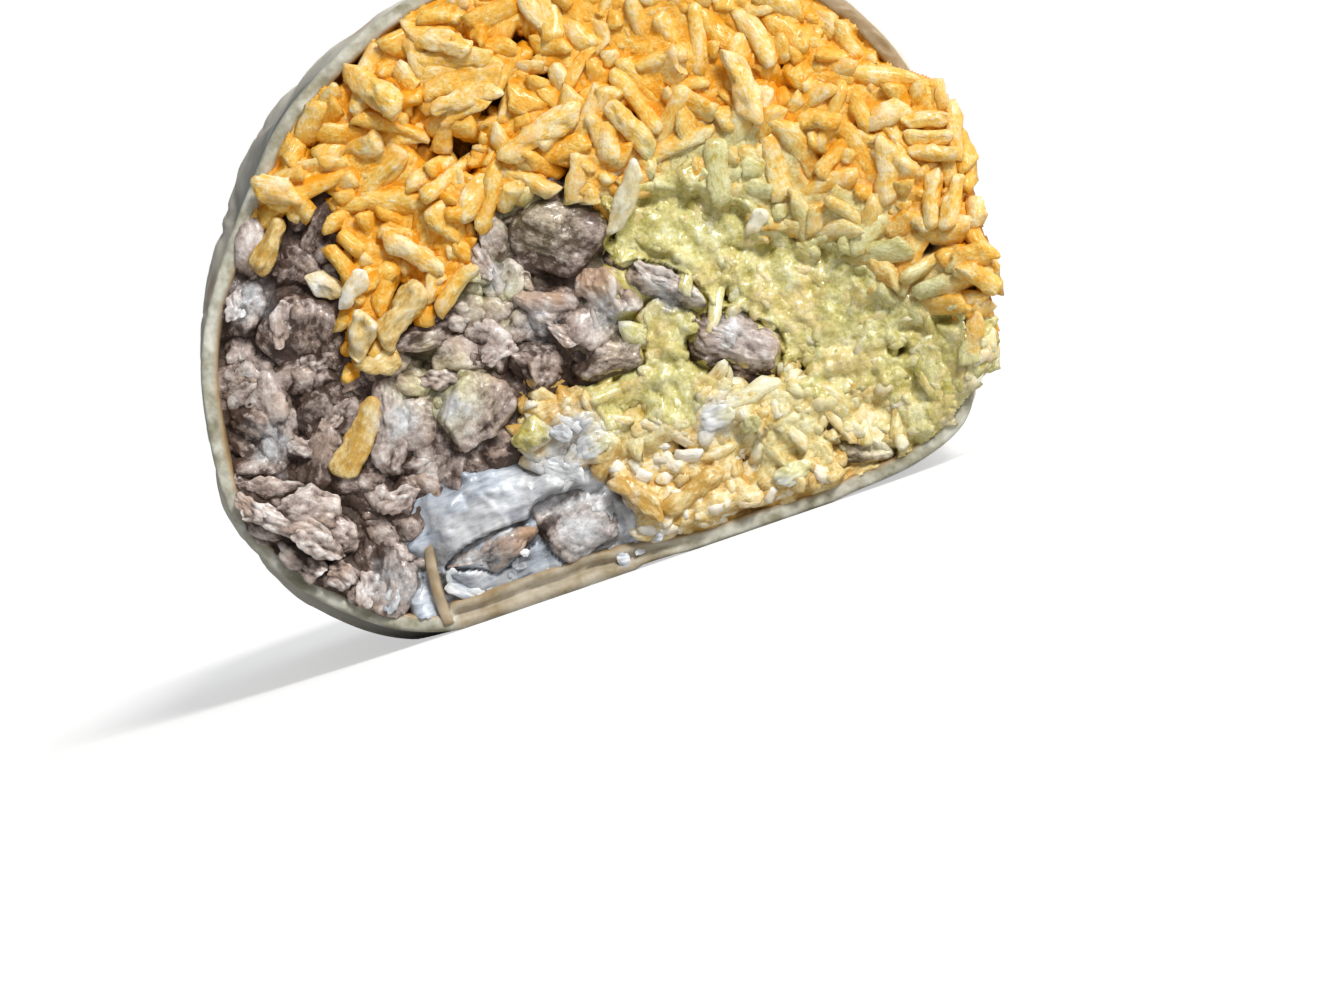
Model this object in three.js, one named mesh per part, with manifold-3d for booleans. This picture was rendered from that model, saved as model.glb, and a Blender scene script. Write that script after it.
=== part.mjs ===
// Half of a rolled burrito, cut across and lying on its side: a flour tortilla round orange rice,
// guacamole, cheesy rice, chopped steak and sour cream. Millimetres, +Z up, the cut face towards -Y.
//
// The fillings are laid out on the cut face in a frame of its own, "across" and "up", which leans by
// REST_TURN. toRest() turns that layout down onto the flat underside that the half lies on.
// y = 0 is the plane of the cut. The body runs back from it to the folded end.

import * as THREE from "three";
import { mergeVertices } from "three/addons/utils/BufferGeometryUtils.js";
import Module from "manifold-3d";

const wasm = await Module();
wasm.setup();

// ---------- driving dimensions ----------

const REST_TURN = THREE.MathUtils.degToRad(19);
const FACE_CENTRE_HEIGHT = 31.3; // of the layout's origin, above the surface that the half lies on
const PLY = 1.9; // thickness of the tortilla
const BODY = 64; // from the cut to where the end starts to close
const END = 27; // from there to the tip
const END_POLE = new THREE.Vector2(-3, 30); // where the end closes, across and above the rest plane
const END_WALL = 3.6; // the plies folded together over the end
const GAP = 0.3; // clearance between neighbouring pieces
const FACE_CROWN = 2.6; // how far the filling stands out of the cut, in its middle
const FACE_RECESS = 0.9; // how far it lies behind the cut, along the rim
const FACE_HALF = new THREE.Vector2(42, 33.5); // half the cut face
const HEAPED_SIDE = 2.2; // how much further the filling stands out at the right, where it spills over
const GRAIN = { length: 8.6, width: 2.9, depth: 2.5 };
const STEAK_FULLNESS = 1.07; // the lumps reach a little past their half sizes, into each other
const AROUND = 54; // points round the tortilla
const RIM_ROUNDING = 0.35; // how far the rim of the cut stands proud, rounded over

// The rim of the cut, anticlockwise from the underside: across, and height above the rest plane.
const RIM = [
  [-21, -0.6], [-6, -0.6], [10, -0.6], [20, 0.3], [28, 1.2], [34, 3.8], [37.2, 9.5], [39, 16],
  [40.8, 25], [41.6, 34], [40, 43.5], [36, 51.5], [30, 58], [22.5, 63], [13, 66.7], [2.5, 68.3],
  [-8, 66.8], [-17, 63.8], [-25.5, 59], [-32, 52.3], [-38, 45], [-42.6, 37], [-44.8, 27],
  [-45, 19.5], [-43, 13.6], [-38.5, 7.6], [-31, 1.8],
].map(([x, z]) => new THREE.Vector3(x, z, 0));

// The free edge of the outer ply, under the half, and the step that it makes.
const SEAM = { x: -4.9, step: 1.4, run: 7 };
// The inner ply's free edge stands up inside the roll.
const TUCK = { foot: [-26.4, 1], bend: [-26.8, 8.5], top: [-24.6, 12.8], thickness: 1.3, length: 58 };
const SECOND_PLY = 1.4; // what the overlap between the two edges adds inside, under the filling

// Each filling is the part of the face that lies nearest to its circles: across, up, radius.
const FILLINGS = {
  rice: [
    [1, 25, 16], [-19, 10, 8], [23, 19, 14], [34, 5, 8], [-31, 13, 5], [-16, 3, 5], [-22, -3, 3],
    [-12, 14, 5], [6, 20, 7],
  ],
  guacamole: [[14, 6, 8], [28, -3, 8], [8, -4, 6], [37, -10, 5], [6, 8, 4], [6, -11, 4]],
  cheesy_rice: [[19, -18, 7], [7, -20, 5], [32, -16, 5], [-3, -15, 3]],
  steak_heap: [
    [-35, -5, 9], [-31, -22, 11], [-27, -32, 5], [-7, -1, 8], [-3, 5, 5], [-16, -6, 4],
    [-22, -16, 6], [-30, 5, 3], [-12, 6, 3], [0, -6, 4], [-13, -14, 6],
  ],
  sour_cream: [[-10, -29, 7], [-1, -26, 5]],
};

// The pieces of steak that show, the most prominent first: place on the face, half sizes, and turn.
const STEAK = [
  { name: "steak_over_rim", at: [-22.7, -32.6], half: [4.3, 3.5], turn: 75, proud: 3.4 },
  { name: "steak_slab", at: [-31.2, -27], half: [7.2, 2.8], turn: -8, proud: 3.2 },
  { name: "steak_round", at: [-3, 5], half: [4.9, 4.2], turn: -10, proud: 2.4 },
  { name: "steak_large_left", at: [-31.3, -5.8], half: [5.1, 4.1], turn: 80, proud: 2 },
  { name: "steak_bright", at: [-5.2, -8.9], half: [3.9, 2.9], turn: -15, proud: 2.2 },
  { name: "steak_low_middle", at: [-21.3, -24.4], half: [4, 3.6], turn: 20, proud: 2 },
  { name: "steak_in_guacamole", at: [15.8, -6.8], half: [4.7, 2.9], turn: -22, proud: 1.6 },
  { name: "steak_upright", at: [-21.3, -15.3], half: [5.4, 2.2], turn: 84, proud: 1.8 },
  { name: "steak_creamed", at: [-0.2, -25.4], half: [4.9, 3.7], turn: 20, proud: 1.6 },
  { name: "steak_on_cream", at: [-8.8, -28.6], half: [5.6, 1.6], turn: 30, proud: 2.6 },
  { name: "steak_saucy", at: [-12.5, -14.1], half: [4.3, 4.1], turn: 60, proud: 1.6 },
  { name: "steak_rim_upper", at: [-37.1, -3.3], half: [3, 2.6], turn: 90, proud: 1.6 },
  { name: "steak_tip", at: [1.6, -1.5], half: [2.9, 2.6], turn: 30, proud: 2 },
  { name: "steak_smooth", at: [2, -7.4], half: [3.9, 3], turn: 10, proud: 1.4 },
  { name: "steak_middle", at: [-4.7, -2.8], half: [4.1, 2.8], turn: -20, proud: 1.4 },
  { name: "steak_left_inner", at: [-28.4, -13.9], half: [3.4, 2.9], turn: 20, proud: 1.6 },
  { name: "steak_glazed", at: [-30, -20.2], half: [3.2, 2.8], turn: 80, proud: 2 },
  { name: "steak_left_outer", at: [-35.2, -13.9], half: [3.7, 3], turn: -30, proud: 1.2 },
  { name: "steak_low_left", at: [-34.8, -21.9], half: [3.4, 2.2], turn: -15, proud: 1 },
  { name: "steak_curl", at: [-10.7, 4.8], half: [3.9, 1.8], turn: -75, proud: 1.6 },
  { name: "steak_knot", at: [-8.6, -0.2], half: [2.6, 2.2], turn: 0, proud: 1.2 },
  { name: "steak_flap", at: [-17.2, -5.9], half: [4.5, 1.6], turn: 12, proud: 1.4 },
  { name: "steak_flap_inner", at: [-12.6, -3.4], half: [4.1, 1.6], turn: -8, proud: 0.8 },
  { name: "steak_strip", at: [-29.3, 4.2], half: [4.3, 2], turn: 80, proud: 1 },
  { name: "steak_smeared", at: [8.2, -0.2], half: [4.8, 1.6], turn: -25, proud: 1.2 },
  { name: "steak_fleck", at: [30.3, -18.9], half: [2.9, 1.4], turn: -8, proud: 1.4 },
];

// ---------- small helpers ----------

const mix = (a, b, t) => a + (b - a) * t;
const clamp = THREE.MathUtils.clamp;

// A seeded generator of numbers from 0 to 1.
function randomFrom(seed) {
  let state = seed >>> 0;
  return () => {
    state = (state + 0x6d2b79f5) >>> 0;
    let t = Math.imul(state ^ (state >>> 15), 1 | state);
    t = (t + Math.imul(t ^ (t >>> 7), 61 | t)) ^ t;
    return ((t ^ (t >>> 14)) >>> 0) / 4294967296;
  };
}

// Soft bumps from -1 to 1 at a point, different for each seed.
function bumps(p, size, seed) {
  const [x, y, z] = [p.x / size, p.y / size, p.z / size];
  const a = Math.sin(1.7 * x + 2.3 * y + seed) + Math.sin(2.1 * y - 1.3 * z + 2.7 * seed);
  const b = Math.sin(2.9 * z + 1.1 * x + 4.1 * seed) + Math.sin(3.7 * x - 2.2 * z + 0.6 * seed);
  return (a + b) / 4;
}

// From the leaning layout of the face to the part: across and height above the rest plane.
function toRest(across, up) {
  const [c, s] = [Math.cos(REST_TURN), Math.sin(REST_TURN)];
  return new THREE.Vector2(across * c + up * s, FACE_CENTRE_HEIGHT - across * s + up * c);
}

// y of the filling's mean surface: crowned in the middle and sunk a little along the rim, but for the
// right, where it is heaped.
function faceDepth(x, z) {
  const share = ((x + 1.5) / FACE_HALF.x) ** 2 + ((z - 33) / FACE_HALF.y) ** 2;
  const heaped = clamp((x - 24) / 12, 0, 1) * clamp((z - 7) / 6, 0, 1) * clamp((52 - z) / 8, 0, 1);
  return FACE_RECESS - (FACE_CROWN + FACE_RECESS) * clamp(1 - share, 0, 1) - HEAPED_SIDE * heaped;
}

function solidOf(geometry) {
  const bare = geometry.clone();
  bare.deleteAttribute("normal");
  bare.deleteAttribute("uv");
  const merged = mergeVertices(bare, 1e-4);
  return new wasm.Manifold(
    new wasm.Mesh({
      numProp: 3,
      vertProperties: new Float32Array(merged.attributes.position.array),
      triVerts: new Uint32Array(merged.index.array),
    }),
  );
}

function geometryOf(solid) {
  const made = solid.getMesh();
  const positions = new THREE.BufferAttribute(new Float32Array(made.vertProperties), 3);
  const geometry = new THREE.BufferGeometry().setAttribute("position", positions);
  geometry.setIndex(new THREE.BufferAttribute(new Uint32Array(made.triVerts), 1));
  geometry.computeVertexNormals();
  return geometry;
}

const union = (solids) => wasm.Manifold.union(solids);
const largestBody = (solid) =>
  solid.decompose().reduce((best, one) => (one.volume() > best.volume() ? one : best));

// A closed skin over rings of equally many points, between a first and a last point. The rings run
// anticlockwise seen from -Y, and the skin's outside is on the right of the way from first to last.
function skin(first, rings, last) {
  const count = rings[0].length;
  const points = [first, ...rings.flat(), last];
  const at = (ring, i) => 1 + ring * count + (i % count);
  const index = [];
  for (let i = 0; i < count; i++) {
    index.push(0, at(0, i), at(0, i + 1));
    for (let ring = 0; ring + 1 < rings.length; ring++) {
      index.push(at(ring, i), at(ring + 1, i), at(ring, i + 1));
      index.push(at(ring + 1, i), at(ring + 1, i + 1), at(ring, i + 1));
    }
    index.push(points.length - 1, at(rings.length - 1, i + 1), at(rings.length - 1, i));
  }
  return new THREE.BufferGeometry().setFromPoints(points).setIndex(index);
}

// ---------- the tortilla ----------

const rimCurve = new THREE.CatmullRomCurve3(RIM, true, "catmullrom", 0.5);

// The outer ply swells behind the cut, most at its upper left and lower left shoulders.
function swell(angle, y) {
  const shoulder = (centre, width) => Math.exp(-(((angle - centre) / width) ** 2));
  const amount = 0.7 + 2.2 * shoulder(2.5, 0.55) + 1.8 * shoulder(-2.55, 0.35);
  return amount * (1 - Math.exp(-((Math.max(y, 0) / 9) ** 2)));
}

// How far the section has closed at y: 1 along the body, 0 at the tip.
function closing(y, body, end) {
  const along = clamp((y - body) / end, 0, 1);
  return (1 - along ** 2.5) ** (1 / 2.1);
}

// Relief of the folded end: one fold line winds in to the middle, and pleats gather towards it.
function endRelief(share, angle) {
  const window = Math.sin(Math.PI * clamp(share, 0, 1)) ** 0.8;
  const coil = (1 - share) * 1.35 + angle / (2 * Math.PI) + 0.15;
  const lip = 1.5 * (0.5 - (coil - Math.floor(coil)));
  return window * (lip + 0.45 * Math.cos(9 * angle + 5 * share));
}

// Where the two plies overlap, from the inner free edge to a little past the outer one: 1 there.
function overlapAt(x) {
  return clamp(x - TUCK.foot[0], 0, 1) * clamp((SEAM.x + SEAM.run - x) / SEAM.run, 0, 1);
}

// One ring of the section at y, drawn in by inset, and closed down towards the end's pole.
// Whatever would reach under the rest plane is pressed flat on it.
function ring(y, inset, { body = BODY, end = END, outside = false, inside = false } = {}) {
  const share = closing(y, body, end);
  const points = [];
  for (let i = 0; i < AROUND; i++) {
    const t = i / AROUND;
    const p = rimCurve.getPoint(t);
    const tangent = rimCurve.getTangent(t);
    const angle = Math.atan2(p.y - 33, p.x);
    const out = (outside ? swell(angle, y) : 0) - inset;
    let x = p.x + tangent.y * out;
    const floor = inset + (inside ? SECOND_PLY * overlapAt(x) : 0);
    let z = Math.max(p.y - tangent.x * out, floor);
    let back = y;
    if (outside) {
      const beyond = x - SEAM.x;
      const underneath = z < 4 && beyond > 0 && beyond < SEAM.run;
      if (underneath) z += SEAM.step * (1 - beyond / SEAM.run) ** 2;
    }
    x = mix(END_POLE.x, x, share);
    z = mix(END_POLE.y, z, share);
    if (outside) {
      const high = clamp((z - 1.5) / 6, 0, 1);
      const relief = 0.55 * bumps(new THREE.Vector3(x, y, z), 6.5, 3) * clamp(y / 8, 0, 1);
      const fold = share < 0.999 ? endRelief(share, angle) : 0;
      x += tangent.y * (relief + fold * share) * high;
      z -= tangent.x * (relief + fold * share) * high;
      back += fold * (1 - share);
    }
    points.push(new THREE.Vector3(x, back, z));
  }
  return points;
}

// The stations of an end: closer together towards the tip.
function endStations(body, end, count) {
  return Array.from({ length: count }, (_, k) => body + end * Math.sin((Math.PI / 2) * ((k + 1) / (count + 1))));
}

const innerEnd = { body: BODY - 2, end: END + 2 - END_WALL, inside: true };

// The tortilla as a solid, grown all over by clear.
function wrapSolid(clear) {
  const inset = PLY + clear;
  const inner = { ...innerEnd, end: innerEnd.end - clear };
  const front = -RIM_ROUNDING - clear;
  const innerRings = [clear ? front : 0, 12, inner.body, ...endStations(inner.body, inner.end, 3)]
    .map((y) => ring(y, inset, inner))
    .reverse();
  const rimRings = clear
    ? [ring(front, -clear)]
    : [ring(front, PLY - RIM_ROUNDING, { inside: true }), ring(front, RIM_ROUNDING)];
  const outerRings = [
    ...[0.4, 5, 11, 20, 31, 42, 53, BODY],
    ...endStations(BODY, END, 7),
  ].map((y) => ring(y, -clear, { outside: true }));
  const innerPole = new THREE.Vector3(END_POLE.x, inner.body + inner.end, END_POLE.y);
  const outerPole = new THREE.Vector3(END_POLE.x, BODY + END + clear, END_POLE.y);
  return solidOf(skin(innerPole, [...innerRings, ...rimRings, ...outerRings], outerPole));
}

// The inner ply's free edge: a bent strip that stands on the inner wall and runs back along it.
function tuckSolid(clear) {
  const path = new THREE.QuadraticBezierCurve(
    new THREE.Vector2(...TUCK.foot),
    new THREE.Vector2(...TUCK.bend),
    new THREE.Vector2(...TUCK.top),
  );
  const half = TUCK.thickness / 2 + clear;
  const steps = 6;
  const side = (sign) =>
    Array.from({ length: steps + 1 }, (_, k) => {
      const t = k / steps;
      const tangent = path.getTangent(t);
      const end = t === 1 ? clear : 0;
      const p = path.getPoint(t).addScaledVector(tangent, end);
      return p.add(new THREE.Vector2(-tangent.y, tangent.x).multiplyScalar(sign * half));
    });
  return prism([...side(1), ...side(-1).reverse()], 0.2 - clear, TUCK.length + clear);
}

// A flat outline in the plane of the face, carried from y = front to y = back.
function prism(outline, front, back) {
  const shape = new THREE.Shape(outline);
  const geometry = new THREE.ExtrudeGeometry(shape, { depth: back - front, bevelEnabled: false });
  return solidOf(geometry.rotateX(Math.PI / 2).translate(0, back, 0));
}

// ---------- the fillings ----------

// The room inside the tortilla, with a domed front that follows the face.
function cavitySolid() {
  const inset = PLY + GAP;
  const inner = { ...innerEnd, end: innerEnd.end - GAP };
  const rim = ring(0, inset, inner);
  const middle = new THREE.Vector2(END_POLE.x, FACE_CENTRE_HEIGHT);
  const frontRing = (share) =>
    rim.map((p) => {
      const x = mix(middle.x, p.x, share);
      const z = mix(middle.y, p.z, share);
      const relief = 0.4 * bumps(new THREE.Vector3(x, 0, z), 2.4, 5);
      return new THREE.Vector3(x, faceDepth(x, z) + 0.5 + relief * (1 - share), z);
    });
  const rings = [
    ...[0.3, 0.65, 1].map(frontRing),
    ...[12, inner.body, ...endStations(inner.body, inner.end, 3)].map((y) => ring(y, inset, inner)),
  ];
  const front = new THREE.Vector3(middle.x, faceDepth(middle.x, middle.y) + 0.5, middle.y);
  const back = new THREE.Vector3(END_POLE.x, inner.body + inner.end, END_POLE.y);
  return solidOf(skin(front, rings, back));
}

const circlesOf = (name) =>
  FILLINGS[name].map(([across, up, radius]) => ({ centre: toRest(across, up), radius }));

// A point's distance to a circle, in the sense that shares the face out between the circles.
const power = (p, circle) => p.distanceToSquared(circle.centre) - circle.radius ** 2;

function fillingAt(p) {
  const nearest = (name) => Math.min(...circlesOf(name).map((circle) => power(p, circle)));
  return Object.keys(FILLINGS).reduce((a, b) => (nearest(b) < nearest(a) ? b : a));
}

const squareRound = (centre, reach) =>
  [[-1, -1], [1, -1], [1, 1], [-1, 1]].map(([x, y]) => new THREE.Vector2(x, y).multiplyScalar(reach).add(centre));

// Keeps the part of a convex outline where normal . p <= limit.
function clip(outline, normal, limit) {
  const kept = [];
  outline.forEach((p, i) => {
    const q = outline[(i + 1) % outline.length];
    const [dp, dq] = [normal.dot(p) - limit, normal.dot(q) - limit];
    if (dp <= 0) kept.push(p);
    if (dp * dq < 0) kept.push(p.clone().lerp(q, dp / (dp - dq)));
  });
  return kept;
}

// The ground of one filling, carried from before the face to the end of the roll.
function territory(name) {
  const rivals = Object.keys(FILLINGS).filter((other) => other !== name).flatMap(circlesOf);
  const square = squareRound(new THREE.Vector2(0, FACE_CENTRE_HEIGHT), 80);
  const cells = circlesOf(name).map((circle) =>
    rivals.reduce((outline, rival) => {
      const between = rival.centre.clone().sub(circle.centre);
      const reach = rival.centre.lengthSq() - circle.centre.lengthSq() + circle.radius ** 2 - rival.radius ** 2;
      const limit = reach / (2 * between.length()) - GAP / 2;
      return clip(outline, between.normalize(), limit);
    }, square),
  );
  return union(cells.filter((cell) => cell.length > 2).map((cell) => prism(cell, -14, BODY + END)));
}

// A lump of chopped meat: a rounded block with uneven sides, grown by clear.
function lump(piece, seed, clear) {
  const [across, up] = piece.at;
  const centre = toRest(across, up);
  const [long, short] = piece.half.map((half) => half * STEAK_FULLNESS);
  const deep = clamp((long + short) / 2, 2.4, 4);
  const geometry = new THREE.IcosahedronGeometry(1, 1);
  const positions = geometry.attributes.position;
  const p = new THREE.Vector3();
  const power = 2.7;
  for (let i = 0; i < positions.count; i++) {
    p.fromBufferAttribute(positions, i);
    const norm = Math.abs(p.x) ** power + Math.abs(p.y) ** power + Math.abs(p.z) ** power;
    const radius = (1 + 0.16 * bumps(p, 0.75, seed)) / norm ** (1 / power);
    p.multiplyScalar(radius).multiply(new THREE.Vector3(long, deep, short));
    p.addScaledVector(p.clone().normalize(), clear);
    positions.setXYZ(i, p.x, p.y, p.z);
  }
  const turn = THREE.MathUtils.degToRad(piece.turn) - REST_TURN;
  const y = faceDepth(centre.x, centre.y) - piece.proud + deep;
  return solidOf(geometry.rotateY(-turn).translate(centre.x, y, centre.y));
}

// A straight eight-sided hole round a solid, open at the face and as deep as the solid's back.
function plugRound(solid) {
  const made = solid.getMesh();
  const points = [];
  let back = -Infinity;
  for (let i = 0; i < made.vertProperties.length; i += 3) {
    const [x, y, z] = made.vertProperties.slice(i, i + 3);
    points.push(new THREE.Vector2(x, z));
    back = Math.max(back, y);
  }
  let outline = squareRound(points[0], 40);
  for (let k = 0; k < 8; k++) {
    const way = new THREE.Vector2(Math.cos((k * Math.PI) / 4), Math.sin((k * Math.PI) / 4));
    outline = clip(outline, way, Math.max(...points.map((p) => way.dot(p))));
  }
  return prism(outline, -20, back);
}

// A cooked grain: rings along its length, blunt at both ends and a little bent.
function grain(centre, direction, roll, scale) {
  const sides = 5;
  const stations = [[-0.36, 0.78], [0, 1], [0.36, 0.74]];
  const bend = 0.5;
  const rings = stations.map(([along, girth]) =>
    Array.from({ length: sides }, (_, i) => {
      const angle = (2 * Math.PI * i) / sides;
      return new THREE.Vector3(
        (GRAIN.width / 2) * girth * Math.cos(angle),
        along * GRAIN.length,
        (GRAIN.depth / 2) * girth * Math.sin(angle) + bend * (1 - 6 * along * along),
      );
    }),
  );
  const tip = (along) => new THREE.Vector3(0, along * GRAIN.length, -bend);
  const turn = new THREE.Quaternion().setFromUnitVectors(new THREE.Vector3(0, 1, 0), direction);
  const spin = new THREE.Quaternion().setFromAxisAngle(new THREE.Vector3(0, 1, 0), roll);
  const place = new THREE.Matrix4().compose(centre, turn.multiply(spin), new THREE.Vector3(scale, scale, scale));
  return solidOf(skin(tip(-0.5), rings, tip(0.5)).applyMatrix4(place));
}

// A smooth blob, for what is spread or spooned in.
function blob(centre, half, seed) {
  const geometry = new THREE.IcosahedronGeometry(1, 1);
  const positions = geometry.attributes.position;
  const p = new THREE.Vector3();
  for (let i = 0; i < positions.count; i++) {
    p.fromBufferAttribute(positions, i);
    p.multiplyScalar(1 + 0.12 * bumps(p, 0.6, seed)).multiply(half);
    positions.setXYZ(i, p.x, p.y, p.z);
  }
  return solidOf(geometry.translate(centre.x, centre.y, centre.z));
}

// The rim's nearest point: how far it is, on which side of the rim p lies, and the rim's heading there.
const rimPoints = rimCurve.getPoints(2 * AROUND).map((p) => new THREE.Vector2(p.x, p.y));

function rimFrom(p) {
  let best = { distance: Infinity };
  rimPoints.forEach((a, i) => {
    const distance = a.distanceTo(p);
    if (distance >= best.distance) return;
    const along = rimPoints[(i + 1) % rimPoints.length].clone().sub(rimPoints.at(i - 1));
    const inside = along.cross(p.clone().sub(a)) > 0;
    best = { distance, inside, heading: along.angle() };
  });
  return best;
}

// Places on one filling's ground, at least spacing apart, drawn from a seed, and clear of the pieces
// of steak. On the right, where the filling spills over, they come as near to the rim as overhang.
function scatter(name, spacing, seed, overhang) {
  const random = randomFrom(seed);
  const found = [];
  for (let tries = 0; tries < 5000; tries++) {
    const p = new THREE.Vector2(mix(-45, 46, random()), mix(0, 69, random()));
    const clear = found.every((place) => place.p.distanceTo(p) > spacing);
    const offSteak = STEAK.every(({ at, half }) => toRest(...at).distanceTo(p) > half[0] * 0.8);
    if (!clear || !offSteak || fillingAt(p) !== name) continue;
    const { distance, inside, heading } = rimFrom(p);
    const spills = overhang > 0 && p.x > 28 && p.y > 8 && p.y < 50;
    if (inside && distance > (spills ? overhang : 3.2)) found.push({ p, edge: distance, heading, spills });
  }
  return found;
}

// Grains over one filling's ground, half sunk in its core. Those by the rim lie along it, or across
// it where the filling spills over.
function grainsOn(name, spacing, seed, overhang = 0) {
  const random = randomFrom(seed + 1);
  return scatter(name, spacing, seed, overhang).map(({ p, edge, heading, spills }) => {
    const free = random() * Math.PI;
    const byRim = heading + (spills ? Math.PI / 2 + 1.6 * (random() - 0.5) : 0.5 * (random() - 0.5));
    const turn = edge < 5 ? byRim : free;
    const tilt = (random() - 0.5) * 0.9;
    const direction = new THREE.Vector3(
      Math.cos(turn) * Math.cos(tilt),
      Math.sin(tilt),
      Math.sin(turn) * Math.cos(tilt),
    );
    const y = faceDepth(p.x, p.y) - 0.1 - 0.5 * random();
    const centre = new THREE.Vector3(p.x, y, p.y);
    return grain(centre, direction, random() * Math.PI, mix(0.9, 1.1, random()));
  });
}

// Blobs over one filling's ground.
function blobsOn(name, spacing, size, seed) {
  const random = randomFrom(seed + 1);
  return scatter(name, spacing, seed, 0).map(({ p }) => {
    const half = new THREE.Vector3(size * mix(0.8, 1.2, random()), size * 0.6, size * mix(0.7, 1.1, random()));
    return blob(new THREE.Vector3(p.x, faceDepth(p.x, p.y) + 0.2, p.y), half, random() * 9);
  });
}

// ---------- the object ----------

const finishes = {
  tortilla: new THREE.MeshStandardMaterial({ color: 0xe6dfc8, roughness: 0.75, metalness: 0 }),
  rice: new THREE.MeshStandardMaterial({ color: 0xf0a848, roughness: 0.45, metalness: 0 }),
  guacamole: new THREE.MeshStandardMaterial({ color: 0xc3bd5c, roughness: 0.4, metalness: 0 }),
  cheesy_rice: new THREE.MeshStandardMaterial({ color: 0xe6d596, roughness: 0.45, metalness: 0 }),
  steak: new THREE.MeshStandardMaterial({ color: 0x85706a, roughness: 0.5, metalness: 0 }),
  sour_cream: new THREE.MeshStandardMaterial({ color: 0xe2e6ea, roughness: 0.3, metalness: 0 }),
};

const burrito = new THREE.Group();

function add(name, solid, finish) {
  const mesh = new THREE.Mesh(geometryOf(solid), finish);
  mesh.name = name;
  burrito.add(mesh);
}

const tuckRoom = tuckSolid(GAP);
const wrapRoom = union([wrapSolid(GAP), tuckRoom]);
add("tortilla", union([wrapSolid(0), tuckSolid(0)]), finishes.tortilla);

// Each piece of steak gives way to those before it, and the heaps give way to all of them.
const steakRooms = STEAK.map((piece, i) => lump(piece, i + 1, GAP));
STEAK.forEach((piece, i) => {
  const before = steakRooms.slice(0, i);
  const whole = lump(piece, i + 1, 0).subtract(union([wrapRoom, ...before]));
  add(piece.name, largestBody(whole), finishes.steak);
});

const cavity = cavitySolid();
const keptClear = union([tuckRoom, ...steakRooms.map(plugRound)]);

function addFilling(name, toppings, finish) {
  const topped = toppings.length ? cavity.add(union(toppings).subtract(wrapRoom)) : cavity;
  add(name, largestBody(topped.intersect(territory(name)).subtract(keptClear)), finish);
}

addFilling("rice", grainsOn("rice", 4.9, 11, 2.6), finishes.rice);
addFilling("guacamole", blobsOn("guacamole", 8.5, 3.2, 21), finishes.guacamole);
addFilling("cheesy_rice", grainsOn("cheesy_rice", 5.2, 31, 2.6), finishes.cheesy_rice);
addFilling("steak_heap", [], finishes.steak);
addFilling("sour_cream", blobsOn("sour_cream", 12, 3.4, 51), finishes.sour_cream);

// The part's origin is under the middle of its box, on the surface that it lies on.
const box = new THREE.Box3().setFromObject(burrito, true);
const middle = box.getCenter(new THREE.Vector3());
burrito.position.set(-middle.x, -middle.y, -box.min.z);

export default burrito;
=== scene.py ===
"""Half of a rolled burrito, lying on its side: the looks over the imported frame.

Shapes are worked out in millimetres, in the roll's own frame: x across, y back from the cut, z up from the
surface that the half lies on. The fillings are laid out on the cut in a leaning frame, "across" and "up",
that to_rest() turns down onto the level underside. What stands out of the cut is kept as one height map,
over which the pieces are stamped and the grains are dropped, so that each thing lies on what is under it.
"""

import math

import bpy
import numpy as np
from mathutils import Matrix, Vector


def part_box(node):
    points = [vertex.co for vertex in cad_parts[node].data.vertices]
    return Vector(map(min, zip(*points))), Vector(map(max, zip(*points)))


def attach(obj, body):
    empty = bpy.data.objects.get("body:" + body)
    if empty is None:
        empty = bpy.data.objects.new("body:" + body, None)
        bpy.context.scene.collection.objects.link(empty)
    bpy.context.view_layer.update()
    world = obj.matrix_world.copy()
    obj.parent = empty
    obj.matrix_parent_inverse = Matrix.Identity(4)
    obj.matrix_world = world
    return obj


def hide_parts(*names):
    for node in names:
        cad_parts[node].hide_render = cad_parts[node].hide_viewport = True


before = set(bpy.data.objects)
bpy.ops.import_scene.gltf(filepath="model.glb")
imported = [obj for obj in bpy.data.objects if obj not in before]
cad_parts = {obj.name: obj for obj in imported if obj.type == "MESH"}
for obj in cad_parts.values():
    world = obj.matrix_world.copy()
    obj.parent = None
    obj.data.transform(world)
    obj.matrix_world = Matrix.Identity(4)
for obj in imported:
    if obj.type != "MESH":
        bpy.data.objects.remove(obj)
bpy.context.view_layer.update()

# ---------- driving values, in millimetres and degrees ----------

MM = 0.001
# How far the leaning layout is turned to lie level, and how high its middle then lies
REST_TURN = math.radians(19)
FACE_CENTRE_HEIGHT = 31.3
# The section's middle: across, and the height that angles round the roll are taken from
MIDDLE_X, MIDDLE_HEIGHT = -1.5, 33
# The tortilla: its two plies, its straight body, its folded end and the cut's rounded edge
PLY = 1.9
SECOND_PLY = 1.4
BODY = 64.0
END = 27.0
END_THICKNESS = 3.6
END_POLE = (-3.0, 30.0)
RIM_ROUNDING = 0.35
RIM_DOUBLED_BELOW = 8
SEAM_X, SEAM_STEP, SEAM_RUN = -4.9, 1.4, 7.0
# The inner ply's free edge: three points that bend its path, its thickness, how far back it runs, its front
TUCK_PATH = ((-26.4, 1.0), (-26.8, 8.5), (-24.6, 12.8))
TUCK_THICKNESS, TUCK_LENGTH, TUCK_FRONT = 1.2, 58.0, -0.6
# The filling's front: how far it stands out in the middle and lies back at the rim, and its heap at the
# right
FACE_CROWN, FACE_RECESS = 2.6, 0.9
FACE_HALF = (42.0, 33.5)
HEAPED_SIDE = 2.2

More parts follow.
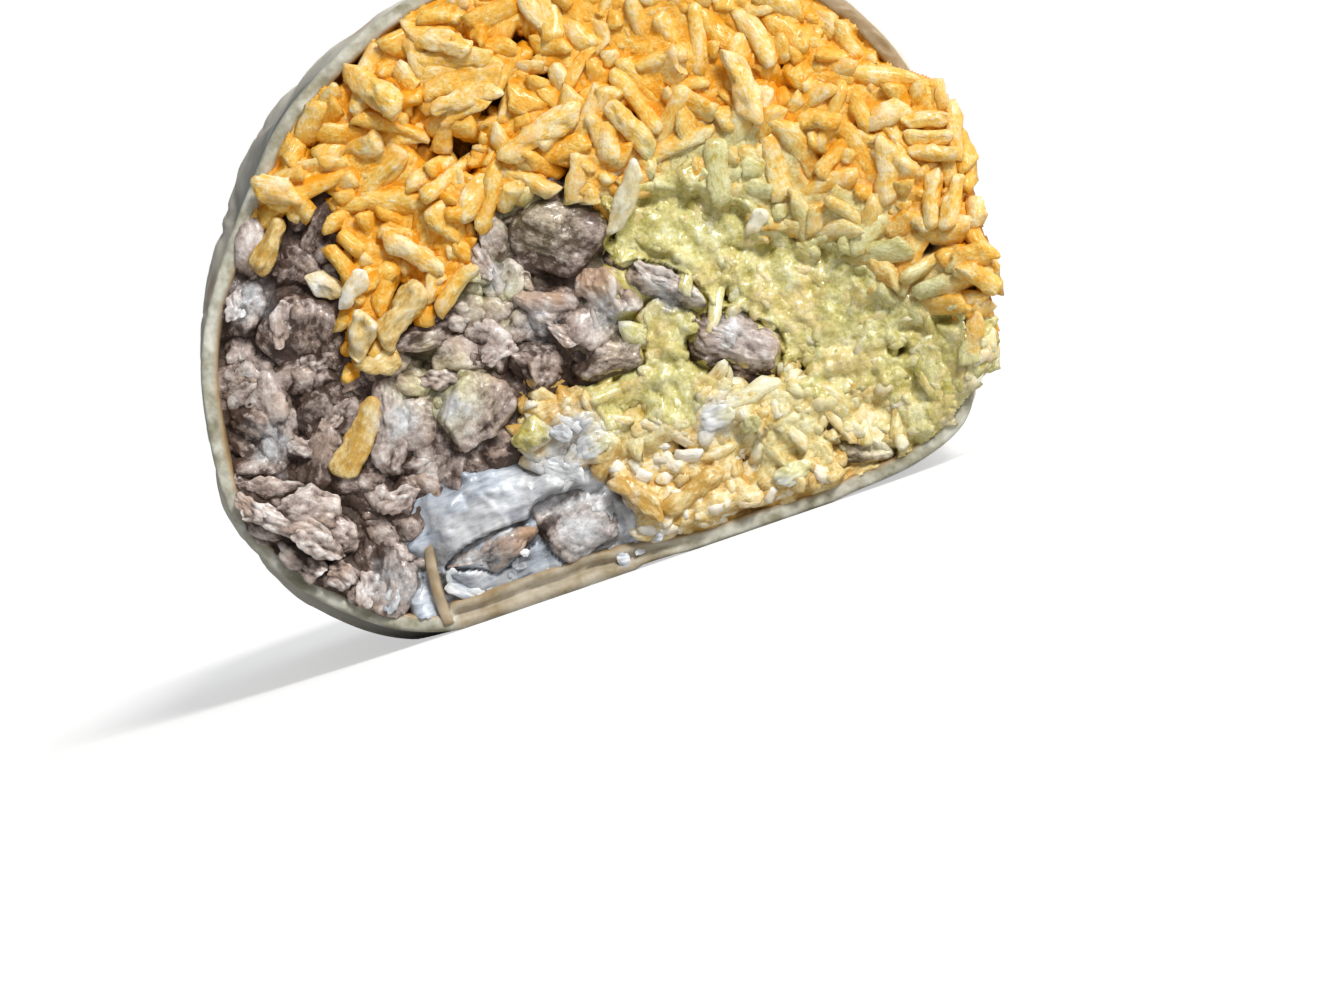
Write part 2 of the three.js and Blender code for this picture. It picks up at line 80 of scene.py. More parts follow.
# The rim of the cut, anticlockwise from the underside: across, and height above the rest plane.
RIM = np.array([
    (-21, -0.6), (-6, -0.6), (10, -0.6), (20, 0.3), (28, 1.2), (34, 3.8), (37.2, 9.5), (39, 16),
    (40.8, 25), (41.6, 34), (40, 43.5), (36, 51.5), (30, 58), (22.5, 63), (13, 66.7), (2.5, 68.3),
    (-8, 66.8), (-17, 63.8), (-25.5, 59), (-32, 52.3), (-38, 45), (-42.6, 37), (-44.8, 27),
    (-45, 19.5), (-43, 13.6), (-38.5, 7.6), (-31, 1.8),
])

# Each filling is the part of the face that lies nearest to its circles: across, up, radius.
FILLINGS = {
    "rice": [
        (1, 25, 16), (-19, 10, 8), (23, 19, 14), (34, 5, 8), (-31, 13, 5), (-16, 3, 5), (-21.5, -2, 2.4),
        (-12, 14, 5), (6, 20, 7),
    ],
    "guacamole": [(14, 6, 8), (28, -3, 8), (8, -4, 6), (37, -10, 5), (6, 8, 4), (6, -11, 4)],
    "cheesy_rice": [(19, -18, 7), (7, -20, 5), (32, -16, 5), (-3, -15, 3)],
    "steak_heap": [
        (-35, -5, 9), (-31, -22, 11), (-27, -32, 5), (-7, -1, 8), (-3, 5, 5), (-16, -6, 4),
        (-22, -16, 6), (-30, 5, 3), (-12, 6, 3), (0, -6, 4), (-13, -14, 6),
    ],
    "sour_cream": [(-10, -29, 7), (-1, -26, 5)],
}

# The camera: its frame in pixels, its scale at the cut, where the leaning layout's middle lies in the frame,
# and from where it looks.
FRAME_PX = (1319, 989)
PX_PER_MM = 9.2
LAYOUT_CENTRE_PX = (588, 282)
AZIMUTH, ELEVATION, DISTANCE = 1.2, 2.0, 600.0
SENSOR = 36.0


# ---------- small helpers ----------

def to_rest(across, up):
    """A turn of the leaning layout by REST_TURN, clockwise: x = a cos + u sin, z = middle - a sin + u
    cos."""
    c, s = math.cos(REST_TURN), math.sin(REST_TURN)
    return across * c + up * s, FACE_CENTRE_HEIGHT - across * s + up * c


def angle_round(x, z):
    """The angle round the middle of the section, from its right, anticlockwise."""
    return np.arctan2(z - MIDDLE_HEIGHT, x)


def smooth(low, high, value):
    """0 below low, 1 above high, and 3t^2 - 2t^3 between them."""
    t = np.clip((value - low) / (high - low), 0, 1)
    return t * t * (3 - 2 * t)


def hashed(at, seed):
    """Three numbers from -1 to 1 for each corner of a lattice, from the bits of its place."""
    code = (at[:, 0] * 73856093) ^ (at[:, 1] * 19349663) ^ (at[:, 2] * 83492791) ^ (seed * 26544357)
    code = (code ^ (code >> 13)) * 1274126177 & 0x7FFFFFFF
    code = (code ^ (code >> 11)) * 668265263 & 0x7FFFFFFF
    return np.stack([(code >> shift & 255) / 127.5 - 1 for shift in (3, 11, 19)], axis=1)


def lattice_place(points, size, seed):
    """The lattice cell that each point lies in, and its place within the cell from 0 to 1."""
    place = np.asarray(points, float) / size + 7.31 * (seed + 1)
    cell = np.floor(place).astype(np.int64)
    return cell, place - cell


def noise(points, size, seed=0):
    """Gradient noise from about -1 to 1. Each corner of a lattice of that size has a slope drawn from a hash
    of its place, and the eight slopes round a point are blended by 6t^5 - 15t^4 + 10t^3."""
    cell, part = lattice_place(points, size, seed)
    blend = part**3 * (part * (part * 6 - 15) + 10)
    total = np.zeros(len(part))
    for corner in np.ndindex(2, 2, 2):
        weight = np.prod(np.where(corner, blend, 1 - blend), axis=1)
        total += weight * np.sum(hashed(cell + corner, seed) * (part - corner), axis=1)
    return total * 1.5


def domes(points, size, seed=0):
    """Rounded bumps with creases between them: 1 - 1.6 d^2, where d is the distance to the nearest of a
    scatter of seeds, one to each cell of a lattice of that size."""
    cell, part = lattice_place(points, size, seed)
    nearest = np.full(len(part), 9.0)
    for corner in np.ndindex(3, 3, 3):
        step = np.array(corner) - 1
        seat = step + 0.5 + 0.42 * hashed(cell + step, seed)
        nearest = np.minimum(nearest, np.sum((part - seat) ** 2, axis=1))
    return 1 - 1.6 * nearest


def layered(points, size, layers=3, seed=0, falloff=0.5):
    """Noise summed over layers, each half the size and falloff times the strength of the one before."""
    return sum(falloff**k * noise(points, size / 2**k, seed + k) for k in range(layers))


def creases(points, size, width, seed=0):
    """1 on the lines where the noise changes sign, falling to 0 over width of its range."""
    return np.exp(-((noise(points, size, seed) / width) ** 2))


def blurred(field, radius):
    """A box average over radius cells each way, three times over, which is close to a bell-shaped one."""
    width = 2 * radius + 1
    for _ in range(3):
        for axis in (0, 1):
            padding = [(radius + 1, radius) if k == axis else (0, 0) for k in (0, 1)]
            sums = np.cumsum(np.pad(field, padding, mode="edge"), axis=axis)
            count = field.shape[axis]
            high = np.take(sums, np.arange(width, width + count), axis=axis)
            field = (high - np.take(sums, np.arange(count), axis=axis)) / width
    return field


# ---------- from the roll's frame to the part's ----------

def closed_curve(points, t):
    """Catmull-Rom: each stretch is a cubic that leaves a point along the line joining its two neighbours."""
    count = len(points)
    place = t * count
    step = np.floor(place).astype(int)
    w = (place - step)[:, None]
    a, b, c, d = (points[(step + k) % count] for k in (-1, 0, 1, 2))
    return 0.5 * (2 * b + (c - a) * w + (2 * a - 5 * b + 4 * c - d) * w**2 + (3 * b - 3 * c + d - a) * w**3)


def rim_at(t):
    """The rim's points and its outward normals at the shares t of the way round."""
    points = closed_curve(RIM, t)
    ahead = closed_curve(RIM, (t + 1e-4) % 1) - closed_curve(RIM, (t - 1e-4) % 1)
    ahead /= np.linalg.norm(ahead, axis=1, keepdims=True)
    return points, np.stack([ahead[:, 1], -ahead[:, 0]], axis=1)


def swell(angle, y):
    """How far the outer ply stands off behind the cut: a base and two shoulders, each a bell over the angle,
    coming up over 9 mm as 1 - e^-(y/9)^2."""
    upper = np.exp(-(((angle - 2.5) / 0.55) ** 2))
    lower = np.exp(-(((angle + 2.55) / 0.35) ** 2))
    return (0.7 + 2.2 * upper + 1.8 * lower) * (1 - np.exp(-((np.maximum(y, 0) / 9) ** 2)))


def shift_of_frame():
    """What takes the roll's frame to the part's: the wrap's lowest corner there, less that corner here."""
    t = np.linspace(0, 1, 54, endpoint=False)
    points, normals = rim_at(t)
    angle = angle_round(points[:, 0], points[:, 1])
    stations = (11.0, 20.0, 31.0, 42.0, 53.0, 64.0)
    lowest_x = min((points[:, 0] + normals[:, 0] * swell(angle, y)).min() for y in stations)
    low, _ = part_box("tortilla")
    return np.array([low[0] / MM - lowest_x + 0.3, low[1] / MM + RIM_ROUNDING, 0.0])


SHIFT = shift_of_frame()


def put_in_scene(name, data):
    """An object of that name with its data, linked to the scene."""
    obj = bpy.data.objects.new(name, data)
    bpy.context.scene.collection.objects.link(obj)
    return obj


def add_mesh(name, points, faces, slot, replaces, attributes):
    """A mesh object of points in the roll's frame and faces of 3 or 4 corners, placed in the part's frame,
    with its attributes by name and the material of its slot."""
    mesh = bpy.data.meshes.new(name)
    points = (np.asarray(points, float) + SHIFT) * MM
    faces = np.asarray(faces)
    count, corners = faces.shape
    mesh.vertices.add(len(points))
    mesh.vertices.foreach_set("co", points.astype(np.float32).ravel())
    mesh.loops.add(count * corners)
    mesh.loops.foreach_set("vertex_index", faces.astype(np.int32).ravel())
    mesh.polygons.add(count)
    mesh.polygons.foreach_set("loop_start", np.arange(0, count * corners, corners, dtype=np.int32))
    mesh.polygons.foreach_set("use_smooth", np.full(count, True))
    mesh.update(calc_edges=True)
    for key, values in attributes.items():
        values = np.asarray(values, np.float32)
        kind, field = ("FLOAT_VECTOR", "vector") if values.ndim == 2 else ("FLOAT", "value")
        mesh.attributes.new(key, kind, "POINT").data.foreach_set(field, values.ravel())
    mesh.validate()
    mesh.materials.append(MATERIALS[slot])
    obj = put_in_scene(name, mesh)
    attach(obj, "root")
    if replaces:
        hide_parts(*replaces)


def grid_faces(rows, columns):
    """Quads over a grid of points, row by row, closed round the columns."""
    row, column = np.meshgrid(np.arange(rows - 1), np.arange(columns), indexing="ij")
    beside = (column + 1) % columns
    a, b = row * columns + column, (row + 1) * columns + column
    c, d = (row + 1) * columns + beside, row * columns + beside
    return np.stack([a, b, c, d], axis=-1).reshape(-1, 4)


# ---------- materials ----------

def new_group(name, inputs, outputs):
    """A shader node group with sockets of the given names, kinds and values."""
    group = bpy.data.node_groups.new(name, "ShaderNodeTree")
    for label, (kind, value) in inputs.items():
        socket = group.interface.new_socket(label, in_out="INPUT", socket_type="NodeSocket" + kind)
        if value is not None:
            socket.default_value = value
    for label, kind in outputs.items():
        group.interface.new_socket(label, in_out="OUTPUT", socket_type="NodeSocket" + kind)
    nodes = group.nodes
    return group, nodes.new("NodeGroupInput"), nodes.new("NodeGroupOutput")


def wire(tree, source, sink):
    """Links two sockets."""
    tree.links.new(source, sink)


def math_node(tree, operation, a, b=None, clamp=False):
    """A Math node over sockets or numbers; returns its result."""
    node = tree.nodes.new("ShaderNodeMath")
    node.operation = operation
    node.use_clamp = clamp
    for socket, value in zip(node.inputs, (a, b)):
        if value is None:
            continue
        if isinstance(value, (int, float)):
            socket.default_value = value
        else:
            wire(tree, value, socket)
    return node.outputs[0]


def plus(tree, a, b, clamp=False):
    """a + b."""
    return math_node(tree, "ADD", a, b, clamp)


def minus(tree, a, b, clamp=False):
    """a - b."""
    return math_node(tree, "SUBTRACT", a, b, clamp)


def times(tree, a, b, clamp=False):
    """a x b."""
    return math_node(tree, "MULTIPLY", a, b, clamp)


def rising_from(tree, value, threshold, gain):
    """(value - threshold) x gain, held between 0 and 1."""
    return times(tree, minus(tree, value, threshold), gain, clamp=True)


def mix_colours(tree, factor, a, b):
    """A Mix node from colour a to colour b by factor; returns its result."""
    node = tree.nodes.new("ShaderNodeMix")
    node.data_type = "RGBA"
    node.clamp_factor = True
    for index, value in ((0, factor), (6, a), (7, b)):
        if isinstance(value, (int, float, tuple)):
            node.inputs[index].default_value = value
        else:
            wire(tree, value, node.inputs[index])
    return node.outputs[2]


def noise_node(tree, place, scale, detail=3.0, roughness=0.6):
    """A Noise Texture node with its scale from a socket or a number, in turns to the metre."""
    node = tree.nodes.new("ShaderNodeTexNoise")
    wire(tree, place, node.inputs["Vector"])
    if isinstance(scale, (int, float)):
        node.inputs["Scale"].default_value = scale
    else:
        wire(tree, scale, node.inputs["Scale"])
    node.inputs["Detail"].default_value = detail
    node.inputs["Roughness"].default_value = roughness
    return node.outputs["Fac"]


def srgb(*colour):
    """A colour from 0 to 255 as the linear one that the shaders take."""
    shares = [c / 255 for c in colour]
    return (*(s / 12.92 if s <= 0.04045 else ((s + 0.055) / 1.055) ** 2.4 for s in shares), 1.0)


def scaled_place(tree, place, stretch):
    """A place with each of its numbers multiplied by those of stretch, sockets both."""
    node = tree.nodes.new("ShaderNodeVectorMath")
    node.operation = "MULTIPLY"
    wire(tree, place, node.inputs[0])
    wire(tree, stretch, node.inputs[1])
    return node.outputs[0]


def attribute(tree, name, output="Fac"):
    """A piece's own attribute, by name."""
    reader = tree.nodes.new("ShaderNodeAttribute")
    reader.attribute_name = name
    return reader.outputs[output]


def new_material(name):
    """A material with its node tree and its shader."""
    material = bpy.data.materials.new(name)
    material.use_nodes = True
    return material, material.node_tree, material.node_tree.nodes["Principled BSDF"]


def add_bump(tree, shader, height, strength, distance):
    """A Bump node from a height into the shader's normal."""
    relief = tree.nodes.new("ShaderNodeBump")
    relief.inputs["Strength"].default_value = strength
    relief.inputs["Distance"].default_value = distance * MM
    wire(tree, height, relief.inputs["Height"])
    wire(tree, relief.outputs["Normal"], shader.inputs["Normal"])


# The hollow inputs and the pit colour put painted shade into the colour.
FOOD_INPUTS = {
    "Place": ("Vector", None), "Stretch": ("Vector", (1.0, 1.0, 1.0)), "Size": ("Float", 1.0),
    "Spread": ("Float", 1.0), "Tone": ("Float", 0.5), "Tone spread": ("Float", 1.0),
    "Hollow": ("Float", 0.0), "Hollow depth": ("Float", 1.0), "Pit depth": ("Float", 0.7),
    "Deep": ("Color", None), "Middle": ("Color", None), "Light": ("Color", None), "Stain": ("Color", None),
    "Pit": ("Color", None), "Stained": ("Float", 0.5), "Flecks_and_glints": ("Float", 0.0),
    "Smooth": ("Float", 0.25), "Rough": ("Float", 0.5), "Wetness": ("Float", 0.3),
    "Green": ("Float", 0.0), "Cream": ("Float", 0.0),
}
FOOD_OUTPUTS = {"Colour": "Color", "Roughness": "Float", "Height": "Float", "Wet": "Float"}
# White spots: white flecks in part, and painted glints of wet highlight in part.
FLECK_AND_GLINT_COLOUR = (252, 250, 244)
# mask: the smear's colour in its dips, painted shade in part, and on its tops, painted light in part, and
# how strongly the mask works
SMEARS = {
    "Green": ((184, 174, 84), (246, 243, 196), 1.4),
    "Cream": ((150, 153, 158), (249, 250, 252), 1.7),
}


def colour_with_painted_shade(group, take, scale, both, fine, painted_hollow_shade):
    """The food's colour with painted shade in it. Its share of light is a half, with the noise's and the
    tone's part added and the hollows' painted shade taken off, and runs from the deep colour over the middle
    one to the light one. A stain in patches, painted shade in the pits, and white spots, flecks in part and
    painted glints in part, lie over it."""
    varied = times(group, minus(group, both, 0.5), take["Spread"])
    toned = times(group, minus(group, take["Tone"], 0.5), take["Tone spread"])
    share = minus(group, plus(group, plus(group, varied, toned), 0.5), painted_hollow_shade)
    low = times(group, share, 2.0, clamp=True)
    high = minus(group, times(group, share, 2.0), 1.0, clamp=True)
    colour = mix_colours(group, low, take["Deep"], take["Middle"])
    colour = mix_colours(group, high, colour, take["Light"])
    broad = noise_node(group, take["Place"], times(group, scale, 0.55), 2.0, 0.5)
    patches = times(group, rising_from(group, broad, 0.48, 6.0), take["Stained"])
    patches = plus(group, patches, rising_from(group, take["Stained"], 1.0, 2.5), clamp=True)
    colour = mix_colours(group, times(group, patches, low), colour, take["Stain"])
    # Painted shade: the pit colour where the hollow mask is deep.
    painted_pit_shade = times(group, rising_from(group, take["Hollow"], 0.72, 3.6), take["Pit depth"])
    colour = mix_colours(group, painted_pit_shade, colour, take["Pit"])
    # White spots where the fine noise is high: flecks in part, painted glints in part.
    flecks_and_glints = times(group, rising_from(group, fine, 0.6, 9.0), take["Flecks_and_glints"])
    return mix_colours(group, times(group, flecks_and_glints, low), colour, srgb(*FLECK_AND_GLINT_COLOUR))


def smeared(group, take, colour, both, painted_hollow_shade):
    """The colour under the two smears, each thick where its mask and the noise are high and thin in
    hollows, and lighter on its raised parts than in its dips, which is painted light and shade in part."""
    raised = minus(group, times(group, both, 2.2), 1.1)
    # Painted light and shade in part: the smear is lighter where the noise, which also raises the bump, is
    # high.
    lit = plus(group, times(group, raised, 1.4), 0.5, clamp=True)
    exposed = minus(group, 1.0, times(group, painted_hollow_shade, 0.6), clamp=True)
    for mask, (dips, tops, strength) in SMEARS.items():
        smear = mix_colours(group, lit, srgb(*dips), srgb(*tops))
        amount = plus(group, times(group, take[mask], strength), raised)
        amount = times(group, amount, take[mask], clamp=True)
        colour = mix_colours(group, times(group, amount, exposed), colour, smear)
    return colour


def food_group():
    """The mottling that every filling shares: its colour by tone and noise with painted shade by depth,
    under a smear of guacamole and one of cream, with a roughness and a height that follow the noise and a
    wetness that the hollows lack. The place is in millimetres, and the fine noise is drawn out where the
    stretch is under
    1."""
    group, given, made = new_group("mottled_food", FOOD_INPUTS, FOOD_OUTPUTS)
    take = given.outputs
    scale = math_node(group, "DIVIDE", 1.0, take["Size"])
    drawn = scaled_place(group, take["Place"], take["Stretch"])
    coarse = noise_node(group, take["Place"], scale, 3.0, 0.55)
    fine = noise_node(group, drawn, times(group, scale, 4.7), 4.0, 0.7)
    both = plus(group, times(group, coarse, 0.5), times(group, fine, 0.5))
    # Painted shade: the hollow mask times its depth, taken off the share of light.
    painted_hollow_shade = times(group, take["Hollow"], take["Hollow depth"])
    colour = colour_with_painted_shade(group, take, scale, both, fine, painted_hollow_shade)
    gap = minus(group, take["Rough"], take["Smooth"])
    exposed = minus(group, 1.0, take["Hollow"], clamp=True)
    wire(group, smeared(group, take, colour, both, painted_hollow_shade), made.inputs["Colour"])
    wire(group, plus(group, take["Smooth"], times(group, gap, fine)), made.inputs["Roughness"])
    wire(group, both, made.inputs["Height"])
    wire(group, times(group, take["Wetness"], exposed), made.inputs["Wet"])
    return group


FOOD_GROUP = food_group()


def food_material(name, colours, values, bump, scatter=0.0, reach=1.0, tint=(1.0, 0.5, 0.25)):
    """A moist food: the shared mottling into a shader with a thin wet coat that may let some light through.
    The colours are those of the hollows, painted shade in part, the middle, the light tops, painted light in
    part, the stains, and the deepest pits, painted shade."""
    material, tree, shader = new_material(name)
    mottle = tree.nodes.new("ShaderNodeGroup")
    mottle.node_tree = FOOD_GROUP
    for label, colour in zip(("Deep", "Middle", "Light", "Stain", "Pit"), colours):
        mottle.inputs[label].default_value = srgb(*colour)
    for label, value in values.items():
        mottle.inputs[label].default_value = value
    for label in ("Place", "Tone", "Hollow", "Stained", "Green", "Cream"):
        output = "Vector" if label == "Place" else "Fac"
        wire(tree, attribute(tree, label.lower(), output), mottle.inputs[label])
    add_bump(tree, shader, mottle.outputs["Height"], bump, 0.4)
    wire(tree, mottle.outputs["Colour"], shader.inputs["Base Color"])
    wire(tree, mottle.outputs["Roughness"], shader.inputs["Roughness"])
    wire(tree, mottle.outputs["Wet"], shader.inputs["Coat Weight"])
    shader.inputs["Subsurface Weight"].default_value = scatter
    shader.inputs["Subsurface Radius"].default_value = tint
    shader.inputs["Subsurface Scale"].default_value = reach * MM
    shader.inputs["Coat Roughness"].default_value = 0.12
    shader.inputs["Specular IOR Level"].default_value = 0.3
    return material


# The deep colour goes to low noise and to the hollows, where it is painted shade, and the pit colour to the
# deepest hollows as painted shade; the light colour, where noise and bump stand high, is painted light in
# part.
MATERIALS = {
    "rice": food_material(
        "orange_rice", [(238, 160, 14), (247, 203, 98), (254, 236, 190), (242, 174, 54), (130, 80, 16)],
        {"Size": 1.5, "Spread": 3.4, "Stretch": (0.6, 1.0, 1.0), "Tone spread": 0.5, "Hollow depth": 0.85,
         "Smooth": 0.3, "Rough": 0.65, "Wetness": 0.25, "Flecks_and_glints": 0.5},
        bump=1.0,
    ),
    "guacamole": food_material(
        "guacamole", [(184, 170, 76), (222, 214, 140), (250, 247, 220), (238, 186, 100), (122, 94, 30)],
        {"Size": 2.2, "Spread": 3.0, "Tone spread": 0.9, "Hollow depth": 0.5, "Pit depth": 0.5,
         "Smooth": 0.08, "Rough": 0.4, "Wetness": 0.8, "Flecks_and_glints": 0.6},
        bump=1.0,
    ),
    "cheesy_rice": food_material(
        "cheesy_rice", [(206, 162, 78), (238, 216, 156), (253, 250, 238), (238, 202, 126), (112, 72, 24)],
        {"Size": 2.0, "Spread": 3.4, "Stretch": (0.5, 1.0, 1.0), "Tone spread": 0.9, "Hollow depth": 0.65,
         "Smooth": 0.2, "Rough": 0.55, "Wetness": 0.35, "Flecks_and_glints": 0.4},
        bump=0.9,
    ),
    "steak": food_material(
        "chopped_steak", [(84, 66, 57), (192, 175, 167), (246, 240, 236), (182, 148, 120), (48, 34, 25)],
        {"Size": 2.5, "Spread": 2.6, "Stretch": (0.75, 1.0, 1.0), "Tone spread": 0.5, "Hollow depth": 0.85,
         "Smooth": 0.25, "Rough": 0.6, "Wetness": 0.4, "Flecks_and_glints": 0.5},
        bump=1.0, scatter=0.12, reach=0.7, tint=(1.0, 0.55, 0.4),
    ),
    # The sour cream's greys and blue greys are painted shade in part over a white cream.
    "sour_cream": food_material(
        "sour_cream", [(104, 108, 116), (196, 206, 220), (252, 254, 255), (168, 172, 178), (92, 84, 76)],
        {"Size": 3.6, "Spread": 3.0, "Stretch": (0.25, 1.0, 1.0), "Tone spread": 0.8, "Hollow depth": 0.5,
         "Smooth": 0.1, "Rough": 0.35, "Wetness": 0.6},
        bump=0.6, scatter=0.2, reach=1.0, tint=(1.0, 0.95, 0.9),
    ),
}


# Toasted spots: how far apart in metres, their least size, their growth, their strength and their colour
TOASTED = [
    (0.019, -0.36, 0.95, 0.75, (186, 142, 92)), (0.019, -0.46, 0.95, 0.8, (138, 92, 54)),
    (0.006, -0.34, 0.8, 0.5, (202, 168, 120)),
]
DOUGH_DARK, DOUGH_LIGHT = (212, 204, 184), (236, 230, 214)
DOUGH_DAMP, FLOUR = (204, 196, 170), (247, 245, 238)
EDGE_DARK, EDGE_LIGHT = (150, 146, 122), (220, 219, 206)
# A blue grey for painted shade on the outer ply's left shoulders, and the sauce's brown, painted shade in
# part where the rim is doubled.
PAINTED_SHADE_GREY, SAUCE_AND_SHADE = (120, 123, 122), (160, 126, 78)


def blisters(tree, place, size, least, spread):
    """Round spots scattered over the dough: 1 inside, from the distance to the nearest of scattered points,
    size metres apart, that a broad noise lets grow."""
    node = tree.nodes.new("ShaderNodeTexVoronoi")
    node.inputs["Scale"].default_value = 1 / size
    wire(tree, place, node.inputs["Vector"])
    growth = times(tree, noise_node(tree, place, 0.45 / size, 2.0), spread)
    ragged = times(tree, noise_node(tree, place, 5.0 / size, 3.0), 0.16)
    reach = plus(tree, plus(tree, growth, ragged), least)
    return times(tree, minus(tree, reach, node.outputs["Distance"]), 9.0, clamp=True)


def dough_colour(tree, place, broad, flour, edge):
    """Pale dough with moist patches and flour on it, toasted outside in spots, with painted shade, a blue
    grey, on the outer ply's left shoulders, a greener cut edge with streaks, and sauce over all, painted
    shade in part where the rim is doubled."""
    colour = mix_colours(tree, broad, srgb(*DOUGH_DARK), srgb(*DOUGH_LIGHT))
    patches = rising_from(tree, noise_node(tree, place, 34.0, 3.0), 0.5, 4.0)
    colour = mix_colours(tree, times(tree, patches, 0.35), colour, srgb(*DOUGH_DAMP))
    floured = times(tree, rising_from(tree, flour, 0.42, 3.0), 0.55)
    colour = mix_colours(tree, floured, colour, srgb(*FLOUR))
    outside = minus(tree, 1.0, edge, clamp=True)
    for size, least, spread, strength, tint in TOASTED:
        toast = times(tree, blisters(tree, place, size, least, spread), outside)
        toast = times(tree, toast, times(tree, flour, 1.9, clamp=True))
        colour = mix_colours(tree, times(tree, toast, strength), colour, srgb(*tint))
    # Painted shade: blue grey on the outer ply's left shoulders, mottled by the broad noise.
    through = times(tree, attribute(tree, "painted_left_shade"), plus(tree, broad, 0.4), clamp=True)
    colour = mix_colours(tree, through, colour, srgb(*PAINTED_SHADE_GREY))
    streaks = rising_from(tree, noise_node(tree, place, 340.0, 3.0, 0.6), 0.35, 3.4)
    colour = mix_colours(tree, edge, colour, mix_colours(tree, streaks, srgb(*EDGE_DARK), srgb(*EDGE_LIGHT)))
    # Sauce stain, and painted shade in part where the rim is doubled underneath.
    stained = times(tree, attribute(tree, "sauce_and_shade"), plus(tree, broad, 0.35), clamp=True)
    return mix_colours(tree, stained, colour, srgb(*SAUCE_AND_SHADE))


def tortilla_material():
    """Floured dough that lets a little light through, matt outside and damper at the cut edge."""
    material, tree, shader = new_material("flour_tortilla")
    place = tree.nodes.new("ShaderNodeTexCoord").outputs["Object"]
    broad = noise_node(tree, place, 60.0, 2.0)
    flour = noise_node(tree, place, 420.0, 5.0, 0.7)
    edge = attribute(tree, "edge")
    wire(tree, dough_colour(tree, place, broad, flour, edge), shader.inputs["Base Color"])
    wire(tree, minus(tree, 0.75, times(tree, edge, 0.3)), shader.inputs["Roughness"])
    add_bump(tree, shader, flour, 0.5, 0.3)
    shader.inputs["Subsurface Weight"].default_value = 0.15
    shader.inputs["Subsurface Radius"].default_value = (1.0, 0.85, 0.6)
    shader.inputs["Subsurface Scale"].default_value = 1.2 * MM
    return material


MATERIALS["tortilla"] = tortilla_material()


# ---------- the tortilla ----------

def closing(y, body, end):
    """How far the section has closed: 1 along the body, then (1 - s^2.5)^(1/2.1) over the end."""
    along = np.clip((y - body) / end, 0, 1)
    return (1 - along**2.5) ** (1 / 2.1)


def overlap_at(x):
    """1 where the two plies overlap underneath, fading past the outer free edge."""
    return np.clip(x - TUCK_PATH[0][0], 0, 1) * np.clip((SEAM_X + SEAM_RUN - x) / SEAM_RUN, 0, 1)


def end_relief(share, angle):
    """The folded end: one fold line that winds in to the middle, and pleats that gather towards it."""
    window = np.sin(np.pi * np.clip(share, 0, 1)) ** 0.8
    coil = (1 - share) * 1.35 + angle / (2 * np.pi) + 0.15
    turned = coil - np.floor(coil)
    lip = 2.4 * (0.5 - smooth(0.0, 0.95, turned) + smooth(0.95, 1.0, turned))
    waves = 0.5 * np.cos(9 * angle + 5 * share)
    ridges = 0.45 * (1 - 2 * np.abs(np.sin(5.5 * angle - 4 * share)) ** 0.6)
    pleats = waves + ridges
    return window * (lip + pleats)


def wrap_ring(t, y, inset, body=BODY, end=END, outside=False, inside=False):
    """The section's points at y, drawn in by inset from the rim's curve and closed down towards the end's
    pole. Outside, it swells behind the cut, with the free edge's step under it and with lumps, creases and
    the folded end's relief on it. Inside, it lies on the second ply where there is one."""
    points, normals = rim_at(t)
    angle = angle_round(points[:, 0], points[:, 1])
    share = float(closing(y, body, end))
    out = (swell(angle, y) if outside else 0) - inset
    x = points[:, 0] + normals[:, 0] * out
    floor = max(inset, 0) + (SECOND_PLY * overlap_at(x) if inside else 0)
    z = np.maximum(points[:, 1] + normals[:, 1] * out, floor)
    back = np.full(len(t), float(y))
    if outside:
        beyond = x - SEAM_X
        under = (z < 4) & (beyond > 0) & (beyond < SEAM_RUN)
        z = z + np.where(under, SEAM_STEP * (1 - beyond / SEAM_RUN) ** 2, 0)
    x = END_POLE[0] + (x - END_POLE[0]) * share
    z = END_POLE[1] + (z - END_POLE[1]) * share
    if outside:
        high = np.clip((z - 1.5) / 6, 0, 1)
        place = np.stack([x, back, z], axis=1)
        lumps = 0.5 * noise(place, 13, 3) + 0.28 * noise(place, 5, 4) + 0.15 * noise(place, 2.0, 5)
        long_lines = creases(place * (1, 0.25, 1), 9, 0.1, 6)
        short_lines = creases(place * (1, 0.6, 1), 15, 0.05, 7)
        relief = (lumps - (0.4 * long_lines + 0.3 * short_lines)) * np.clip(y / 6, 0.12, 1)
        fold = end_relief(share, angle) if share < 0.999 else 0
        x = x + normals[:, 0] * (relief + fold * share) * high
        z = z + normals[:, 1] * (relief + fold * share) * high
        back = back + (fold + 0.5 * relief) * (1 - share)
    return np.stack([x, back, z], axis=1)


def end_stations(body, end, count):
    """Places along an end, closer together towards its tip."""
    return body + end * np.sin(np.pi / 2 * np.arange(1, count + 1) / (count + 1))


def doubled_rim(points):
    """1 where the rim's points lie on two plies, underneath."""
    return overlap_at(points[:, 0]) * (points[:, 1] < RIM_DOUBLED_BELOW)


